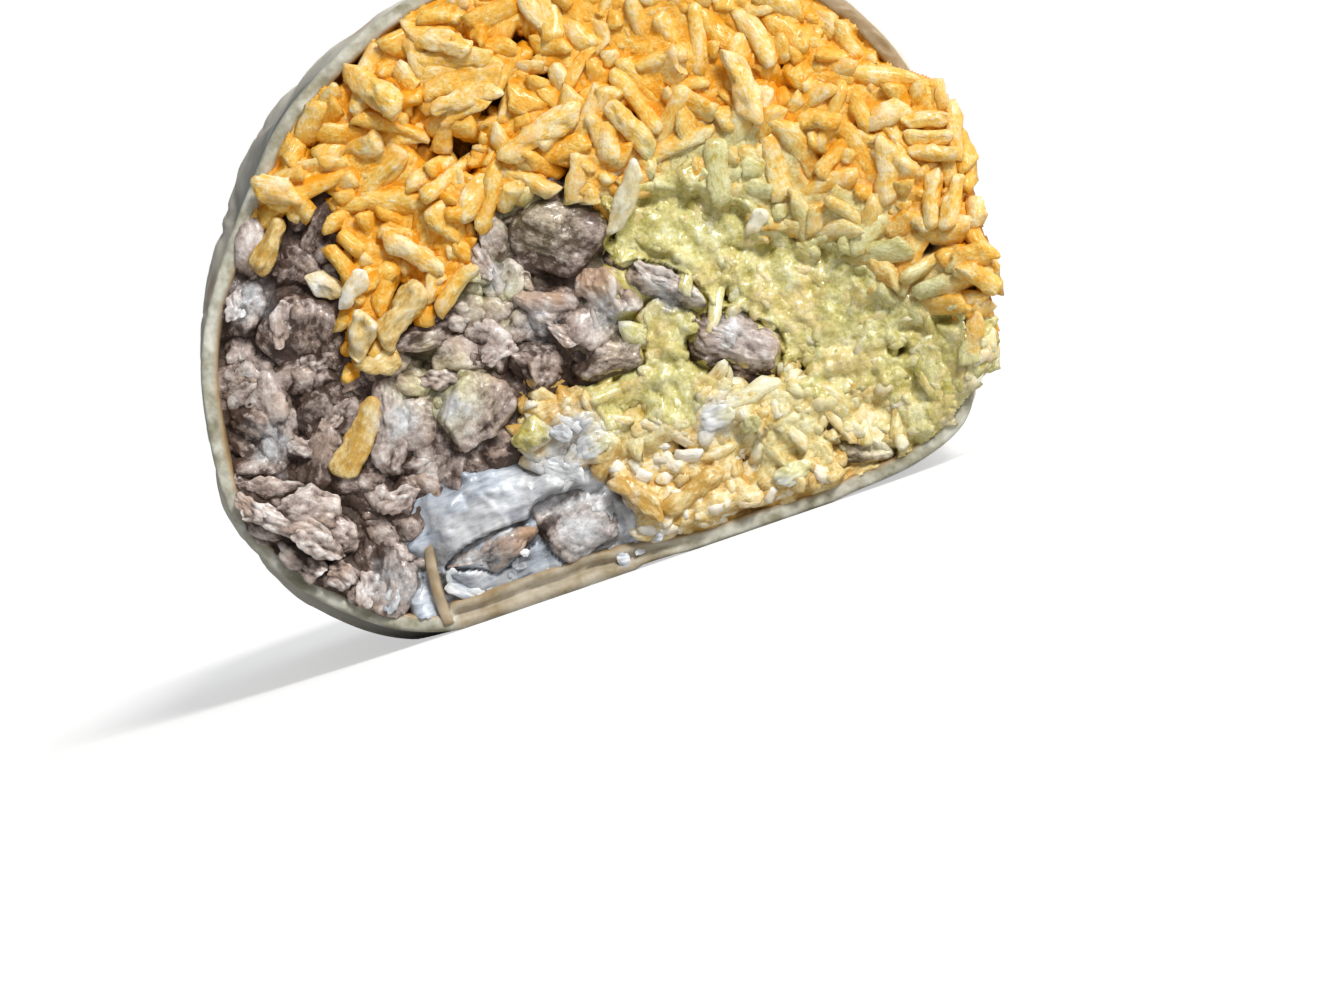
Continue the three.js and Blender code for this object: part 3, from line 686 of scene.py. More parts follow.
def rim_rings(t):
    """The cut edge: a rounded lip across the ply, roughened, with a groove between the two plies
    underneath."""
    shares = np.linspace(0.1, 0.9, 9)
    points, _ = rim_at(t)
    doubled = doubled_rim(points)
    rings = []
    for share in shares[::-1]:
        inner = wrap_ring(t, 0, PLY, inside=True)
        outer = wrap_ring(t, 0, 0)
        inner = inner + 0.13 * noise(inner, 4.5, 10)[:, None] * (inner - outer)
        ring = outer + (inner - outer) * share
        rounding = RIM_ROUNDING * (1 - (2 * share - 1) ** 4)
        groove = 0.9 * np.exp(-(((share - 0.5) / 0.13) ** 2)) * doubled
        ragged = 0.22 * noise(ring, 3.2, 11) + 0.16 * noise(ring, 1.1, 8) + 0.09 * noise(ring, 0.45, 9)
        ring[:, 1] = -rounding + groove + ragged
        rings.append(ring)
    return rings


def left_shade_window(angle):
    """Where shade is painted on the outer ply: the two shoulders on the left, which turn away from the
    light.
    """
    upper = np.exp(-(((angle - 2.4) / 0.5) ** 2))
    lower = np.exp(-(((angle + 2.4) / 0.4) ** 2))
    return np.clip(upper + 0.9 * lower, 0, 1)


def wrap_masks(rings, t, inner_count, rim_end):
    """How far each point of the rings is cut edge, is stained with sauce and has painted shade. The sauce
    covers the inside, runs out over the rim's first rings, and soaks the rim at the right and where it is
    doubled, which is painted shade in part."""
    edge, sauce_and_shade, painted_left_shade = (np.zeros((len(rings), len(t))) for _ in range(3))
    edge[inner_count - 2 : rim_end] = 1
    edge[rim_end : rim_end + 3] = np.array([0.8, 0.4, 0.15])[:, None]
    sauce_and_shade[:inner_count] = 1
    sauce_and_shade[inner_count : inner_count + 3] = np.array([0.9, 0.6, 0.25])[:, None]
    points, _ = rim_at(t)
    angle = angle_round(points[:, 0], points[:, 1])
    soaked = 0.85 * smooth(0.0, 0.15, angle) * smooth(0.95, 0.75, angle)
    rim = slice(inner_count, rim_end)
    # Where the rim is doubled underneath, the sauce colour is painted shade in part, and sauce stain in
    # part.
    sauce_and_shade[rim] = np.maximum(sauce_and_shade[rim], np.maximum(0.55 * doubled_rim(points), soaked))
    for k in range(rim_end, len(rings)):
        x, y, z = rings[k].T
        # Painted shade on the left shoulders, fading out between 2 and 15 mm back from the cut.
        painted_left_shade[k] = smooth(15, 2, y) * left_shade_window(angle_round(x, z))
    return {"edge": edge, "sauce_and_shade": sauce_and_shade, "painted_left_shade": painted_left_shade}


def add_tortilla():
    """Rings of points from the inner pole forward along the inside, over the cut edge and back to the tip,
    with a fan over each pole, and the inner ply's free edge. The inside closes sooner, to leave the end its
    thickness."""
    around = 440
    t = np.arange(around) / around
    inner_end = {"body": BODY - 2, "end": END + 2 - END_THICKNESS, "inside": True}
    inner_stations = [0.6, 3, 12, inner_end["body"], *end_stations(inner_end["body"], inner_end["end"], 4)]
    rings = [wrap_ring(t, y, PLY, **inner_end) for y in reversed(inner_stations)]
    inner_count = len(rings)
    rings += rim_rings(t)
    rim_end = len(rings)
    body_stations = np.concatenate([np.linspace(0.15, 12, 28), np.linspace(12.6, BODY, 80)])
    rings += [wrap_ring(t, y, 0, outside=True) for y in (*body_stations, *end_stations(BODY, END, 62))]
    inner_pole = (END_POLE[0], inner_end["body"] + inner_end["end"], END_POLE[1])
    outer_pole = (END_POLE[0], BODY + END, END_POLE[1])
    points = np.concatenate([*rings, [inner_pole, outer_pole]])
    here = np.arange(around)
    ahead = (here + 1) % around
    last_ring = (len(rings) - 1) * around
    inner_fan = np.stack([np.full(around, len(points) - 2), here, ahead], axis=1)
    outer_fan = np.stack([np.full(around, len(points) - 1), last_ring + ahead, last_ring + here], axis=1)
    quads = grid_faces(len(rings), around)
    tuck_points, tuck_faces = tuck()
    faces = [quads[:, [0, 1, 3]], quads[:, [1, 2, 3]], inner_fan, outer_fan, tuck_faces + len(points)]
    on_tuck = {"edge": 1.0, "sauce_and_shade": 0.8, "painted_left_shade": 0.0}
    masks = {
        key: np.concatenate([mask.ravel(), [0, 0], np.full(len(tuck_points), on_tuck[key])])
        for key, mask in wrap_masks(rings, t, inner_count, rim_end).items()
    }
    everything = np.concatenate([points, tuck_points])
    add_mesh("tortilla_wrap", everything, np.concatenate(faces), "tortilla", ["tortilla"], masks)


def tuck():
    """The inner ply's free edge: a strip whose middle follows a bent path, carried back along the inside
    wall."""
    steps, deep = 40, 30
    a, b, c = (np.array(p) for p in TUCK_PATH)
    s = np.linspace(0, 1, steps)[:, None]
    middle = (1 - s) ** 2 * a + 2 * s * (1 - s) * b + s**2 * c
    ahead = np.gradient(middle, axis=0)
    ahead /= np.linalg.norm(ahead, axis=1, keepdims=True)
    side = np.stack([-ahead[:, 1], ahead[:, 0]], axis=1)
    half = TUCK_THICKNESS / 2 * np.sqrt(np.clip(1 - np.linspace(0, 1, steps) ** 8, 0.02, 1))[:, None]
    loop = np.concatenate([middle + side * half, (middle - side * half)[::-1]])
    fronts = np.array([TUCK_FRONT, *np.linspace(TUCK_FRONT + 0.25, TUCK_LENGTH, deep - 1)])
    shrink = np.array([0.72, *np.ones(deep - 1)])
    centre = np.concatenate([middle, middle[::-1]])
    rings = []
    for y, keep in zip(fronts, shrink):
        flat = centre + (loop - centre) * keep
        ring = np.stack([flat[:, 0], np.full(len(flat), y), flat[:, 1]], axis=1)
        ring[:, 1] += 0.3 * noise(ring, 1.6, 12) * (y < 2)
        rings.append(ring)
    count = len(loop)
    points = np.concatenate(rings)
    faces = grid_faces(len(rings), count)
    cap = np.array([(k, k + 1, count - 2 - k, count - 1 - k) for k in range(steps - 1)])
    quads = np.concatenate([faces, cap, (cap + (len(rings) - 1) * count)[:, ::-1]])
    return points, np.concatenate([quads[:, [0, 1, 2]], quads[:, [0, 2, 3]]])


# ---------- the face as maps ----------

CELL = 0.25
MAP_X = np.arange(-50, 50, CELL)
MAP_Z = np.arange(-3, 72, CELL)
X, Z = np.meshgrid(MAP_X, MAP_Z, indexing="ij")
NOTHING = -60.0
BETWEEN_CIRCLES = 13


def over_map(pattern, *values):
    """A pattern over the whole map, which it reads as points (x, 0, z)."""
    points = np.stack([X.ravel(), np.zeros(X.size), Z.ravel()], axis=1)
    return pattern(points, *values).reshape(X.shape)


def face_height(x, z):
    """How far the filling's mean front stands out of the cut: a crown in the middle, and heaped at the
    right."""
    share = ((x - MIDDLE_X) / FACE_HALF[0]) ** 2 + ((z - MIDDLE_HEIGHT) / FACE_HALF[1]) ** 2
    heaped = np.clip((x - 24) / 12, 0, 1) * np.clip((z - 3) / 6, 0, 1) * np.clip((46 - z) / 8, 0, 1)
    return (FACE_CROWN + FACE_RECESS) * np.clip(1 - share, 0, 1) - FACE_RECESS + HEAPED_SIDE * heaped


def rim_distance():
    """Distance of each spot of the map from the rim's curve, positive inside it."""
    points, normals = rim_at(np.arange(420) / 420)
    points[:, 1] = np.maximum(points[:, 1], 0)
    nearest = np.full(X.shape, 1e9)
    signed = np.zeros(X.shape)
    for (px, pz), (nx, nz) in zip(points, normals):
        distance = (X - px) ** 2 + (Z - pz) ** 2
        closer = distance < nearest
        nearest = np.where(closer, distance, nearest)
        signed = np.where(closer, -((X - px) * nx + (Z - pz) * nz), signed)
    return np.sqrt(nearest) * np.sign(signed)


def nearness(circles):
    """The smallest squared distance to a circle's middle, less its squared radius, over the map."""
    best = np.full(X.shape, 1e9)
    for across, up, radius in circles:
        cx, cz = to_rest(across, up)
        best = np.minimum(best, (X - cx) ** 2 + (Z - cz) ** 2 - radius**2)
    return best


def ground_maps():
    """For each filling, how far inside its ground each spot lies, in millimetres: the gap between its own
    and the nearest rival's nearness, over twice the usual distance between circles, with a wobble so that
    the borders aren't straight."""
    nearest = {name: nearness(circles) for name, circles in FILLINGS.items()}
    maps = {}
    for k, name in enumerate(FILLINGS):
        rivals = np.min([nearest[other] for other in FILLINGS if other != name], axis=0)
        wobble = 1.3 * over_map(noise, 5, 20 + k)
        maps[name] = (rivals - nearest[name]) / (2 * BETWEEN_CIRCLES) + wobble
    return maps


def smear_map(circles, reach):
    """1 inside the circles, falling to 0 over reach millimetres past them."""
    gaps = []
    for across, up, radius in circles:
        cx, cz = to_rest(across, up)
        gaps.append(np.hypot(X - cx, Z - cz) - radius)
    return np.clip(1 - np.min(gaps, axis=0) / reach, 0, 1)


# Deep gaps between the rice: across, up, radius.
PIT_DEPTH = 6.5
PITS = [
    (-13.4, 13.8, 2.2), (-16.6, 14.6, 1.6), (-7.4, 25.2, 1.6), (-10.1, 19.2, 1.6), (-26.4, 24.1, 1.4),
    (-23.7, 8.4, 1.1), (-20.2, -0.6, 1.1), (-33.6, 5.6, 1.4), (4.6, 17.6, 0.9), (24.6, 12.4, 1.0),
    (-29.5, 15.0, 1.2), (-18.3, 17.5, 1.2), (-2.9, 11.6, 1.1), (14.2, 26.5, 0.9), (9.8, 21.4, 0.8),
    (21.6, 22.3, 0.9), (30.2, 16.4, 0.8), (36.2, 4.4, 1.1), (-4.6, 22.4, 0.9), (29.2, 3.2, 1.0),
    (15.2, -1.4, 0.8), (22.8, -9.4, 0.8), (11.7, -7.6, 0.9), (33.6, -7.2, 0.8), (5.0, -14.2, 0.9),
    (17.4, -19.4, 0.9), (26.2, -15.6, 0.8), (9.6, -18.2, 0.8),
]
# How much the front is filled up close to the lower rim.
RIM_FILL = 1.5


def pitted(height):
    """The mean front made uneven, clump by clump, and filled up at the lower rim but for a bare stretch by
    the free edge, with the pits sunk into it, each a flat-topped bell PIT_DEPTH deep."""
    height = height + over_map(layered, 8.5, 2, 90, 0.45)
    bare = smooth(-29, -25, X) * smooth(4, -4, X)
    height = height + RIM_FILL * smooth(PLY + 5, PLY, EDGE) * smooth(30, 20, Z) * (1 - bare)
    for across, up, radius in PITS:
        px, pz = to_rest(across, up)
        height = height - PIT_DEPTH * np.exp(-(((X - px) ** 2 + (Z - pz) ** 2) / radius**2) ** 1.5)
    return height


EDGE = rim_distance()
INWARD = np.gradient(EDGE, CELL)
GROUND = ground_maps()
TARGET = pitted(face_height(X, Z))
HEIGHT = np.where((EDGE > 0) & (EDGE < PLY), RIM_ROUNDING, NOTHING)
STEAK_FRONT = np.full(X.shape, NOTHING)
SPOTS = {}


def cells_at(x, z, margin=0):
    """The indices of the map's cell nearest to each point, at least margin cells from the map's sides."""
    i = np.clip(np.round((np.asarray(x) - MAP_X[0]) / CELL).astype(int), margin, len(MAP_X) - 1 - margin)
    j = np.clip(np.round((np.asarray(z) - MAP_Z[0]) / CELL).astype(int), margin, len(MAP_Z) - 1 - margin)
    return i, j


def read(field, x, z):
    """A map's value at the cell nearest to each point."""
    return field[cells_at(x, z)]


def stamp(points, field=HEIGHT):
    """Raises a map to the points, each over its cell and the eight round it."""
    i, j = cells_at(points[:, 0], points[:, 2], 1)
    for di in (-1, 0, 1):
        for dj in (-1, 0, 1):
            np.maximum.at(field, (i + di, j + dj), -points[:, 1] - 0.05 * (abs(di) + abs(dj)))


# ---------- steak ----------

def ball(count):
    """Directions over a ball, from the surface of a cube cut count ways a side and swelled out, and its
    quads."""
    ticks = np.arange(count + 1)
    u, v = (m.ravel() for m in np.meshgrid(ticks, ticks, indexing="ij"))
    low, high = np.zeros_like(u), np.full_like(u, count)
    sides = [(low, v, u), (high, u, v), (u, low, v), (v, high, u), (v, u, low), (u, v, high)]
    lattice = np.concatenate([np.stack(side, axis=1) for side in sides])
    unique, index = np.unique(lattice, axis=0, return_inverse=True)
    index = index.ravel()
    quads = []
    for side in range(6):
        sheet = index[side * len(u) : (side + 1) * len(u)].reshape(count + 1, count + 1)
        corners = [sheet[:-1, :-1], sheet[1:, :-1], sheet[1:, 1:], sheet[:-1, 1:]]
        quads.append(np.stack(corners, axis=-1).reshape(-1, 4))
    places = np.tan((unique / count - 0.5) * np.pi / 2)
    return places / np.linalg.norm(places, axis=1, keepdims=True), np.concatenate(quads)


BALL_FINE = ball(40)
BALL_FLAP = ball(20)
BALL_MIDDLE = ball(10)
BALL_SMALL = ball(4)


def torn_lump(centre, half, turn, tilt, seed, ball_mesh, blocky=2.6, relief=1.0, cuts=6):
    """A chopped lump of meat: |x|^p + |y|^p + |z|^p = 1 swelled to its half sizes and pushed out and in by
    broad noise, then flattened where planes cut it, and roughened by domes of two sizes with creases between
    them and by fine noise drawn out along its fibres. Returns its points, how far each lies in a crease, and
    where each lies in the lump's own frame."""
    ways, _ = ball_mesh
    random = np.random.default_rng(seed)
    radius = np.sum(np.abs(ways) ** blocky, axis=1) ** (-1 / blocky)
    place = ways * radius[:, None] * half
    mean = float(np.mean(half))
    place = place + ways * (0.24 * mean * noise(place, mean * 1.1, seed))[:, None]
    for _ in range(cuts):
        normal = random.normal(0, 1, 3) * (1, 1.3, 1)
        normal /= np.linalg.norm(normal)
        reach = random.uniform(0.62, 0.88) * np.max(place @ normal)
        place = place - 0.92 * np.maximum(place @ normal - reach, 0)[:, None] * normal
    size = float(np.clip(mean * 0.8, 0.8, 3.2))
    bent = place + 0.5 * size * np.stack([noise(place, size * 1.6, seed + k) for k in (5, 6, 7)], axis=1)
    large = domes(bent * (0.6, 1, 1), size, seed + 1) - 0.6
    grainy = domes(bent * (0.5, 1, 1), min(1.5, size * 0.6), seed + 2) - 0.6
    fine = domes(bent * (0.7, 1, 1), 0.7, seed + 3) - 0.6
    fibres = noise(place * (0.2, 1, 1), 0.6, seed + 4)
    bump = relief * (0.17 * size * large + 0.28 * grainy + 0.19 * fine + 0.1 * fibres)
    place = place + ways * bump[:, None]
    # How far each point lies in a crease; the colour darkens by it as painted shade.
    hollow = np.clip(-0.7 * large - 0.7 * grainy - 0.35 * fine - 0.3 * fibres, 0, 1)
    own_place = place + 17.0 * seed
    x, y, z = place.T
    out, x = x * math.sin(tilt) + y * math.cos(tilt), x * math.cos(tilt) - y * math.sin(tilt)
    c, s = math.cos(turn), math.sin(turn)
    return np.stack([x * c - z * s, out, x * s + z * c], axis=1) + centre, hollow, own_place


def node_lump(name):
    """Where a piece of steak lies: the middle of its box, and the turn and half sizes of its spread on the
    face."""
    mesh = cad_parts[name].data
    places = np.empty(len(mesh.vertices) * 3, np.float32)
    mesh.vertices.foreach_get("co", places)
    places = np.unique(np.round(places.reshape(-1, 3) / MM, 3), axis=0) - SHIFT
    low, high = places.min(0), places.max(0)
    centre = (low + high) / 2
    flat = places[:, [0, 2]] - centre[[0, 2]]
    _, ways = np.linalg.eigh(flat.T @ flat)
    along = ways[:, 1]
    turn = math.atan2(along[1], along[0])
    across = flat @ np.array([-along[1], along[0]])
    long_half, short_half = np.ptp(flat @ along) / 2, np.ptp(across) / 2
    return centre, np.array([long_half, (high[1] - low[1]) / 2, short_half]), turn


STEAK_NODES = sorted(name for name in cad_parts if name.startswith("steak_") and name != "steak_heap")
# How far inside the rim's curve the pieces are held.
HELD_IN = 1.2
finished = []


def held_in(points):
    """Points behind the cut that reach into the wrap, moved back towards the inside of the rim."""
    x, y, z = points.T
    past = np.clip(HELD_IN - read(EDGE, x, z), 0, None) * smooth(-0.9, -0.3, y)
    inward_x, inward_z = (read(part, x, z) for part in INWARD)
    return points + np.stack([past * inward_x, np.zeros(len(points)), past * inward_z], axis=1)


def keep_piece(name, points, faces, slot, replaced, hollow, tone, place=None, stained=0.5):
    """Sets a finished mesh aside until the whole face is known. Its place is where each point lies in its
    own grain or lump, which the mottling follows."""
    masks = {"hollow": hollow, "tone": tone, "stained": stained}
    masks = {key: np.broadcast_to(value, len(points)) for key, value in masks.items()}
    masks["place"] = points if place is None else place
    finished.append((name, points, faces, slot, replaced, masks))


def keep_lumps(name, slot, lumps, tones, ball_mesh):
    """Sets lumps aside as one mesh: for each, what torn_lump() returns, and its tone."""
    ways, faces = ball_mesh
    clouds, hollows, places = (np.concatenate(parts) for parts in zip(*lumps))
    first = len(ways) * np.arange(len(lumps))[:, None, None]
    faces = (faces[None] + first).reshape(-1, 4)
    keep_piece(name, clouds, faces, slot, [], hollows, np.repeat(tones, len(ways)), places)


# How blocky some pieces are, how strong their relief is, and how many planes cut them.
BLOCKS = {
    "steak_round": (2.3, 0.6, 1), "steak_slab": (3.0, 1.3, 3), "steak_on_cream": (2.0, 1.2, 2),
    "steak_left_outer": (2.0, 1.1, 3), "steak_glazed": (2.0, 1.0, 2), "steak_creamed": (2.6, 1.2, 5),
    "steak_in_guacamole": (3.2, 1.1, 3), "steak_smeared": (2.4, 0.7, 3), "steak_fleck": (3.0, 1.0, 2),
}
# How light some pieces are, where the others vary round 0.5.
PALER = {
    "steak_in_guacamole": 0.75, "steak_smeared": 0.9, "steak_fleck": 0.8, "steak_creamed": 0.5,
    "steak_slab": 0.9, "steak_tip": 1.3, "steak_knot": 1.2, "steak_curl": 1.1, "steak_flap_inner": 1.1,
    "steak_round": 0.1, "steak_large_left": 0.1, "steak_left_inner": 0.1, "steak_rim_upper": 0.3,
}
# How far the browner pieces are stained, where 0.45 is common.
BROWNED = {
    "steak_on_cream": 1.3, "steak_middle": 0.9, "steak_low_left": 0.9, "steak_tip": 0.9,
    "steak_left_outer": 0.9,
}
# How far forward of their solids some pieces stand, where the others stand a little behind.
FORWARD = {"steak_fleck": 0.6, "steak_in_guacamole": 0.3, "steak_smeared": 0.2}


def add_steak():
    """Each named piece of steak as a torn lump over its own solid."""
    for k, name in enumerate(STEAK_NODES):
        centre, half, turn = node_lump(name)
        centre = centre + (0, -FORWARD.get(name, -0.25), 0)
        size = half * (1.06, 1, 1.08)
        shape = BLOCKS.get(name, (2.2 + 0.3 * (k % 4), 1, 6))
        points, hollow, place = torn_lump(centre, size, turn, 0, 40 + 11 * k, BALL_FINE, *shape)
        points = held_in(points)
        stamp(points)
        tone = PALER.get(name, 0.5 + 0.35 * math.sin(5.1 * k))
        stained = BROWNED.get(name, 0.45 + 0.3 * math.sin(3.7 * k))
        new_name = name.replace("steak_", "meat_")
        keep_piece(new_name, points, BALL_FINE[1], "steak", [name], hollow, tone, place, stained)
        stamp(points, STEAK_FRONT)


def lowest_spot(ground, random, above, margin, tries=10, wander=0.6):
    """Of a few spots drawn on a ground, the one that lies deepest under the mean front, as its cell's
    indices.
    Spots lie margin inside the rim or on the spilled filling, and on no piece of steak unless the ground is
    steak."""
    if (ground, margin) not in SPOTS:
        steak = ground == "steak_heap"
        bare = steak | (STEAK_FRONT < TARGET - 2.2)
        spilled = (not steak) & (EDGE < PLY + 1) & (spill_zone() > 0.8)
        within = (EDGE > PLY + margin) | spilled
        SPOTS[ground, margin] = np.argwhere((GROUND[ground] > -0.3) & within & bare)
    spots = SPOTS[ground, margin]
    picks = spots[random.integers(len(spots), size=tries)]
    i, j = picks[:, 0], picks[:, 1]
    room = TARGET[i, j] + above - HEIGHT[i, j] + random.normal(0, wander, tries)
    best = int(np.argmax(room))
    return i[best], j[best]


def add_lumps(name, ground, slot, number, sizes, above, seed, ball_mesh, tones, margin=1.4):
    """Small lumps that fill the lowest places of a ground, as one mesh."""
    random = np.random.default_rng(seed)
    lumps, lump_tones = [], []
    for k in range(number):
        i, j = lowest_spot(ground, random, above, margin)
        radius = random.uniform(*sizes)
        x, z = MAP_X[i], MAP_Z[j]
        aside = radius * 0.5
        under = read(HEIGHT, x + aside * np.array([0, 1, -1, 0, 0]), z + aside * np.array([0, 0, 0, 1, -1]))
        laid = float(np.median(np.maximum(under, -9))) + radius * 0.45
        level = min(laid, TARGET[i, j] + above - radius * 0.5)
        half = radius * random.uniform(0.75, 1.3, 3) * (1.15, 0.75, 0.9)
        turn, tilt = random.uniform(0, np.pi), random.uniform(-0.4, 0.4)
        points, hollow, place = torn_lump((x, -level, z), half, turn, tilt, seed + 13 * k, ball_mesh, 2.3)
        points = held_in(points)
        stamp(points)
        lumps.append((points, hollow, place))
        lump_tones.append(random.uniform(*tones))
    keep_lumps(name, slot, lumps, lump_tones, ball_mesh)


# Torn flaps on the larger pieces: across, up, half length, half width, angle on the leaning face, tone
FLAPS = [
    (-33.4, -22.8, 5.6, 1.5, -4, 1.1), (-29.6, -24.6, 4.6, 2.4, -10, 0.8),
    (-32.8, -26.0, 5.8, 1.5, -16, 1.2), (-28.8, -28.6, 4.2, 1.4, -24, 1.0),
    (-36.4, -24.4, 2.6, 1.1, -40, 1.0), (-30.4, -30.2, 3.6, 1.8, -30, 0.8),
    (-26.6, -31.8, 2.4, 1.6, -35, 0.6), (-24.0, -33.4, 2.2, 1.4, 70, 1.2),
    (-33.0, -4.2, 3.2, 1.2, 80, 0.7), (-29.6, -8.6, 2.6, 1.1, 20, 0.9), (-38.2, -2.6, 2.0, 1.2, 85, 1.0),
    (-27.4, -14.4, 2.6, 1.0, 40, 0.9), (-31.2, -18.0, 2.4, 1.1, -10, 0.8), (-11.6, 2.6, 2.8, 1.2, -60, 1.1),
    (-3.0, -5.4, 2.6, 1.1, -30, 0.8), (-9.6, -7.6, 2.4, 1.1, 30, 1.0), (-20.4, -23.6, 2.8, 1.3, 25, 1.0),
    (-16.2, -10.4, 2.6, 1.2, 10, 0.9), (8.0, 0.6, 3.4, 1.2, -24, 1.0), (13.6, -5.6, 2.8, 1.1, -30, 0.6),
]
# Cream that stands up: across, up, half length, half width, angle on the leaning face
DOLLOPS = [
    (-14.4, -32.4, 1.6, 0.9, -65), (-12.6, -33.5, 3.4, 1.0, -10),
    (0.6, -17.6, 2.0, 1.3, 30), (-2.4, -20.4, 2.4, 1.2, -20), (-2.8, -16.4, 1.2, 1.0, 0),
    (13.8, -14.6, 2.2, 1.3, 20), (3.8, -30.2, 0.9, 0.8, 0), (7.6, -27.4, 0.8, 0.7, 0),
    (5.6, -29.2, 0.7, 0.6, 40), (-7.4, -30.6, 0.9, 0.7, 10), (-6.0, -31.4, 1.0, 0.7, 60),
    (-4.4, -30.6, 0.8, 0.7, 0), (-5.0, -29.4, 0.7, 0.6, 30), (-8.2, -32.0, 0.8, 0.6, 80),
    (-2.8, -31.6, 0.9, 0.6, -20), (-6.8, -29.4, 0.6, 0.5, 0), (1.6, -24.0, 1.6, 0.7, 50),
    (-21.4, -34.6, 1.5, 0.8, 75), (22.4, -20.6, 2.2, 1.3, 20), (17.6, -15.4, 1.5, 0.9, 35),
]
DOLLOP_TONE = 1.0


def lay_lumps(name, rows, slot, thick, sink, seed, relief, cuts):
    """Lumps laid one by one on what is there, as one mesh. Rows: across, up, half length, half width, angle
    and tone. Each is thick times as deep as it is wide."""
    lumps = []
    for k, (across, up, long_half, short_half, angle, _) in enumerate(rows):
        x, z = to_rest(across, up)
        turn = math.radians(angle) - REST_TURN
        half = np.array([long_half, thick * short_half, short_half])
        level, slope = bed_down(x, z, turn, 2 * half[[0, 2, 1]], sink)
        centre = (x, -level, z)
        lump = torn_lump(centre, half, turn, -slope, seed + 7 * k, BALL_FLAP, 2.2, relief, cuts)
        stamp(lump[0])
        lumps.append(lump)
    keep_lumps(name, slot, lumps, [row[5] for row in rows], BALL_FLAP)


# ---------- beds: the fronts that lie under and between the pieces ----------

BEDS = {
    # filling: how far its support lies behind the mean front, how far its front keeps under the blurred
    # front of what is dropped on it, over how many cells that is blurred, and the depth and size of its own
    # relief
    "steak_heap": (3.8, 0.8, 2, 0.7, 2.2),
    "rice": (3.6, 0.1, 1, 0.25, 0.9),
    "cheesy_rice": (2.6, 0.0, 1, 0.6, 2.0),
    "guacamole": (2.0, -0.2, 1, 0.6, 1.9),
    "sour_cream": (0.4, 0.0, 2, 1.0, 6.0),
}
# Where the cream stands up as a folded sheet, and by how much: across, up, radius.
CREAM_RISE = 2.1
CREAM_SHEET = [
    (-13.6, -26.4, 1.6), (-10.6, -25.0, 1.8), (-7.4, -23.8, 1.6), (-4.4, -23.0, 1.0), (-13.5, -28.8, 1.2),
    (-13.1, -31.0, 0.7),
]
# How far back the beds run, how far past their ground they reach, and how fast they fall away there
BED_BACK = 60.0
BORDER = 1.5
BORDER_FALL = 1.3
# How far inside its ground a bed starts to fall away, where the others start at its edge.
FALLS_FROM = {"cheesy_rice": 0.45}
# Between which depths behind the mean front a piece of steak comes to show through a bed, and how far the
# bed then keeps under it. The cream closes round the pieces.
UNDER_STEAK = {"sour_cream": (0.9, 0.2, 0.2)}


def lay_support(name):
    """Raises the height map over a ground to the rough support that its pieces are dropped on."""
    recess = BEDS[name][0]
    support = TARGET - recess + 1.2 * over_map(layered, 6, 2, 37)
    here = (GROUND[name] > 0) & (EDGE > PLY - 0.2)
    HEIGHT[here] = np.maximum(HEIGHT[here], support[here])


def bed_relief(points, name):
    """The bed's own surface: folded and ridged where it is spooned cream, beaded for the others, and torn
    along the roll's width for the steak."""
    depth, size = BEDS[name][3:]
    if name == "sour_cream":
        bent = points + 2.5 * noise(points, 7, 32)[:, None]
        ridges = 1 - 2 * np.abs(noise(bent * (0.5, 1, 1), size * 0.6, 38))
        small = 0.3 * (domes(bent * (0.6, 1, 1), 2.2, 33) - 0.6) + 0.12 * noise(points, 0.9, 34)
        return depth * (0.8 * noise(bent, size, 31) + 0.6 * ridges) + small
    bend, drawn = (0.8, 0.6) if name == "steak_heap" else (0.35, 1.0)
    bent = points + bend * size * noise(points, size * 0.8, 38)[:, None]
    bent = bent * (drawn, 1, 1)
    beads = domes(bent, size, 35) - 0.6
    fine = domes(bent, size * 0.42, 36) - 0.6
    return depth * (0.75 * beads + 0.45 * fine) + 0.35 * depth * noise(points, size * 2.5, 37)


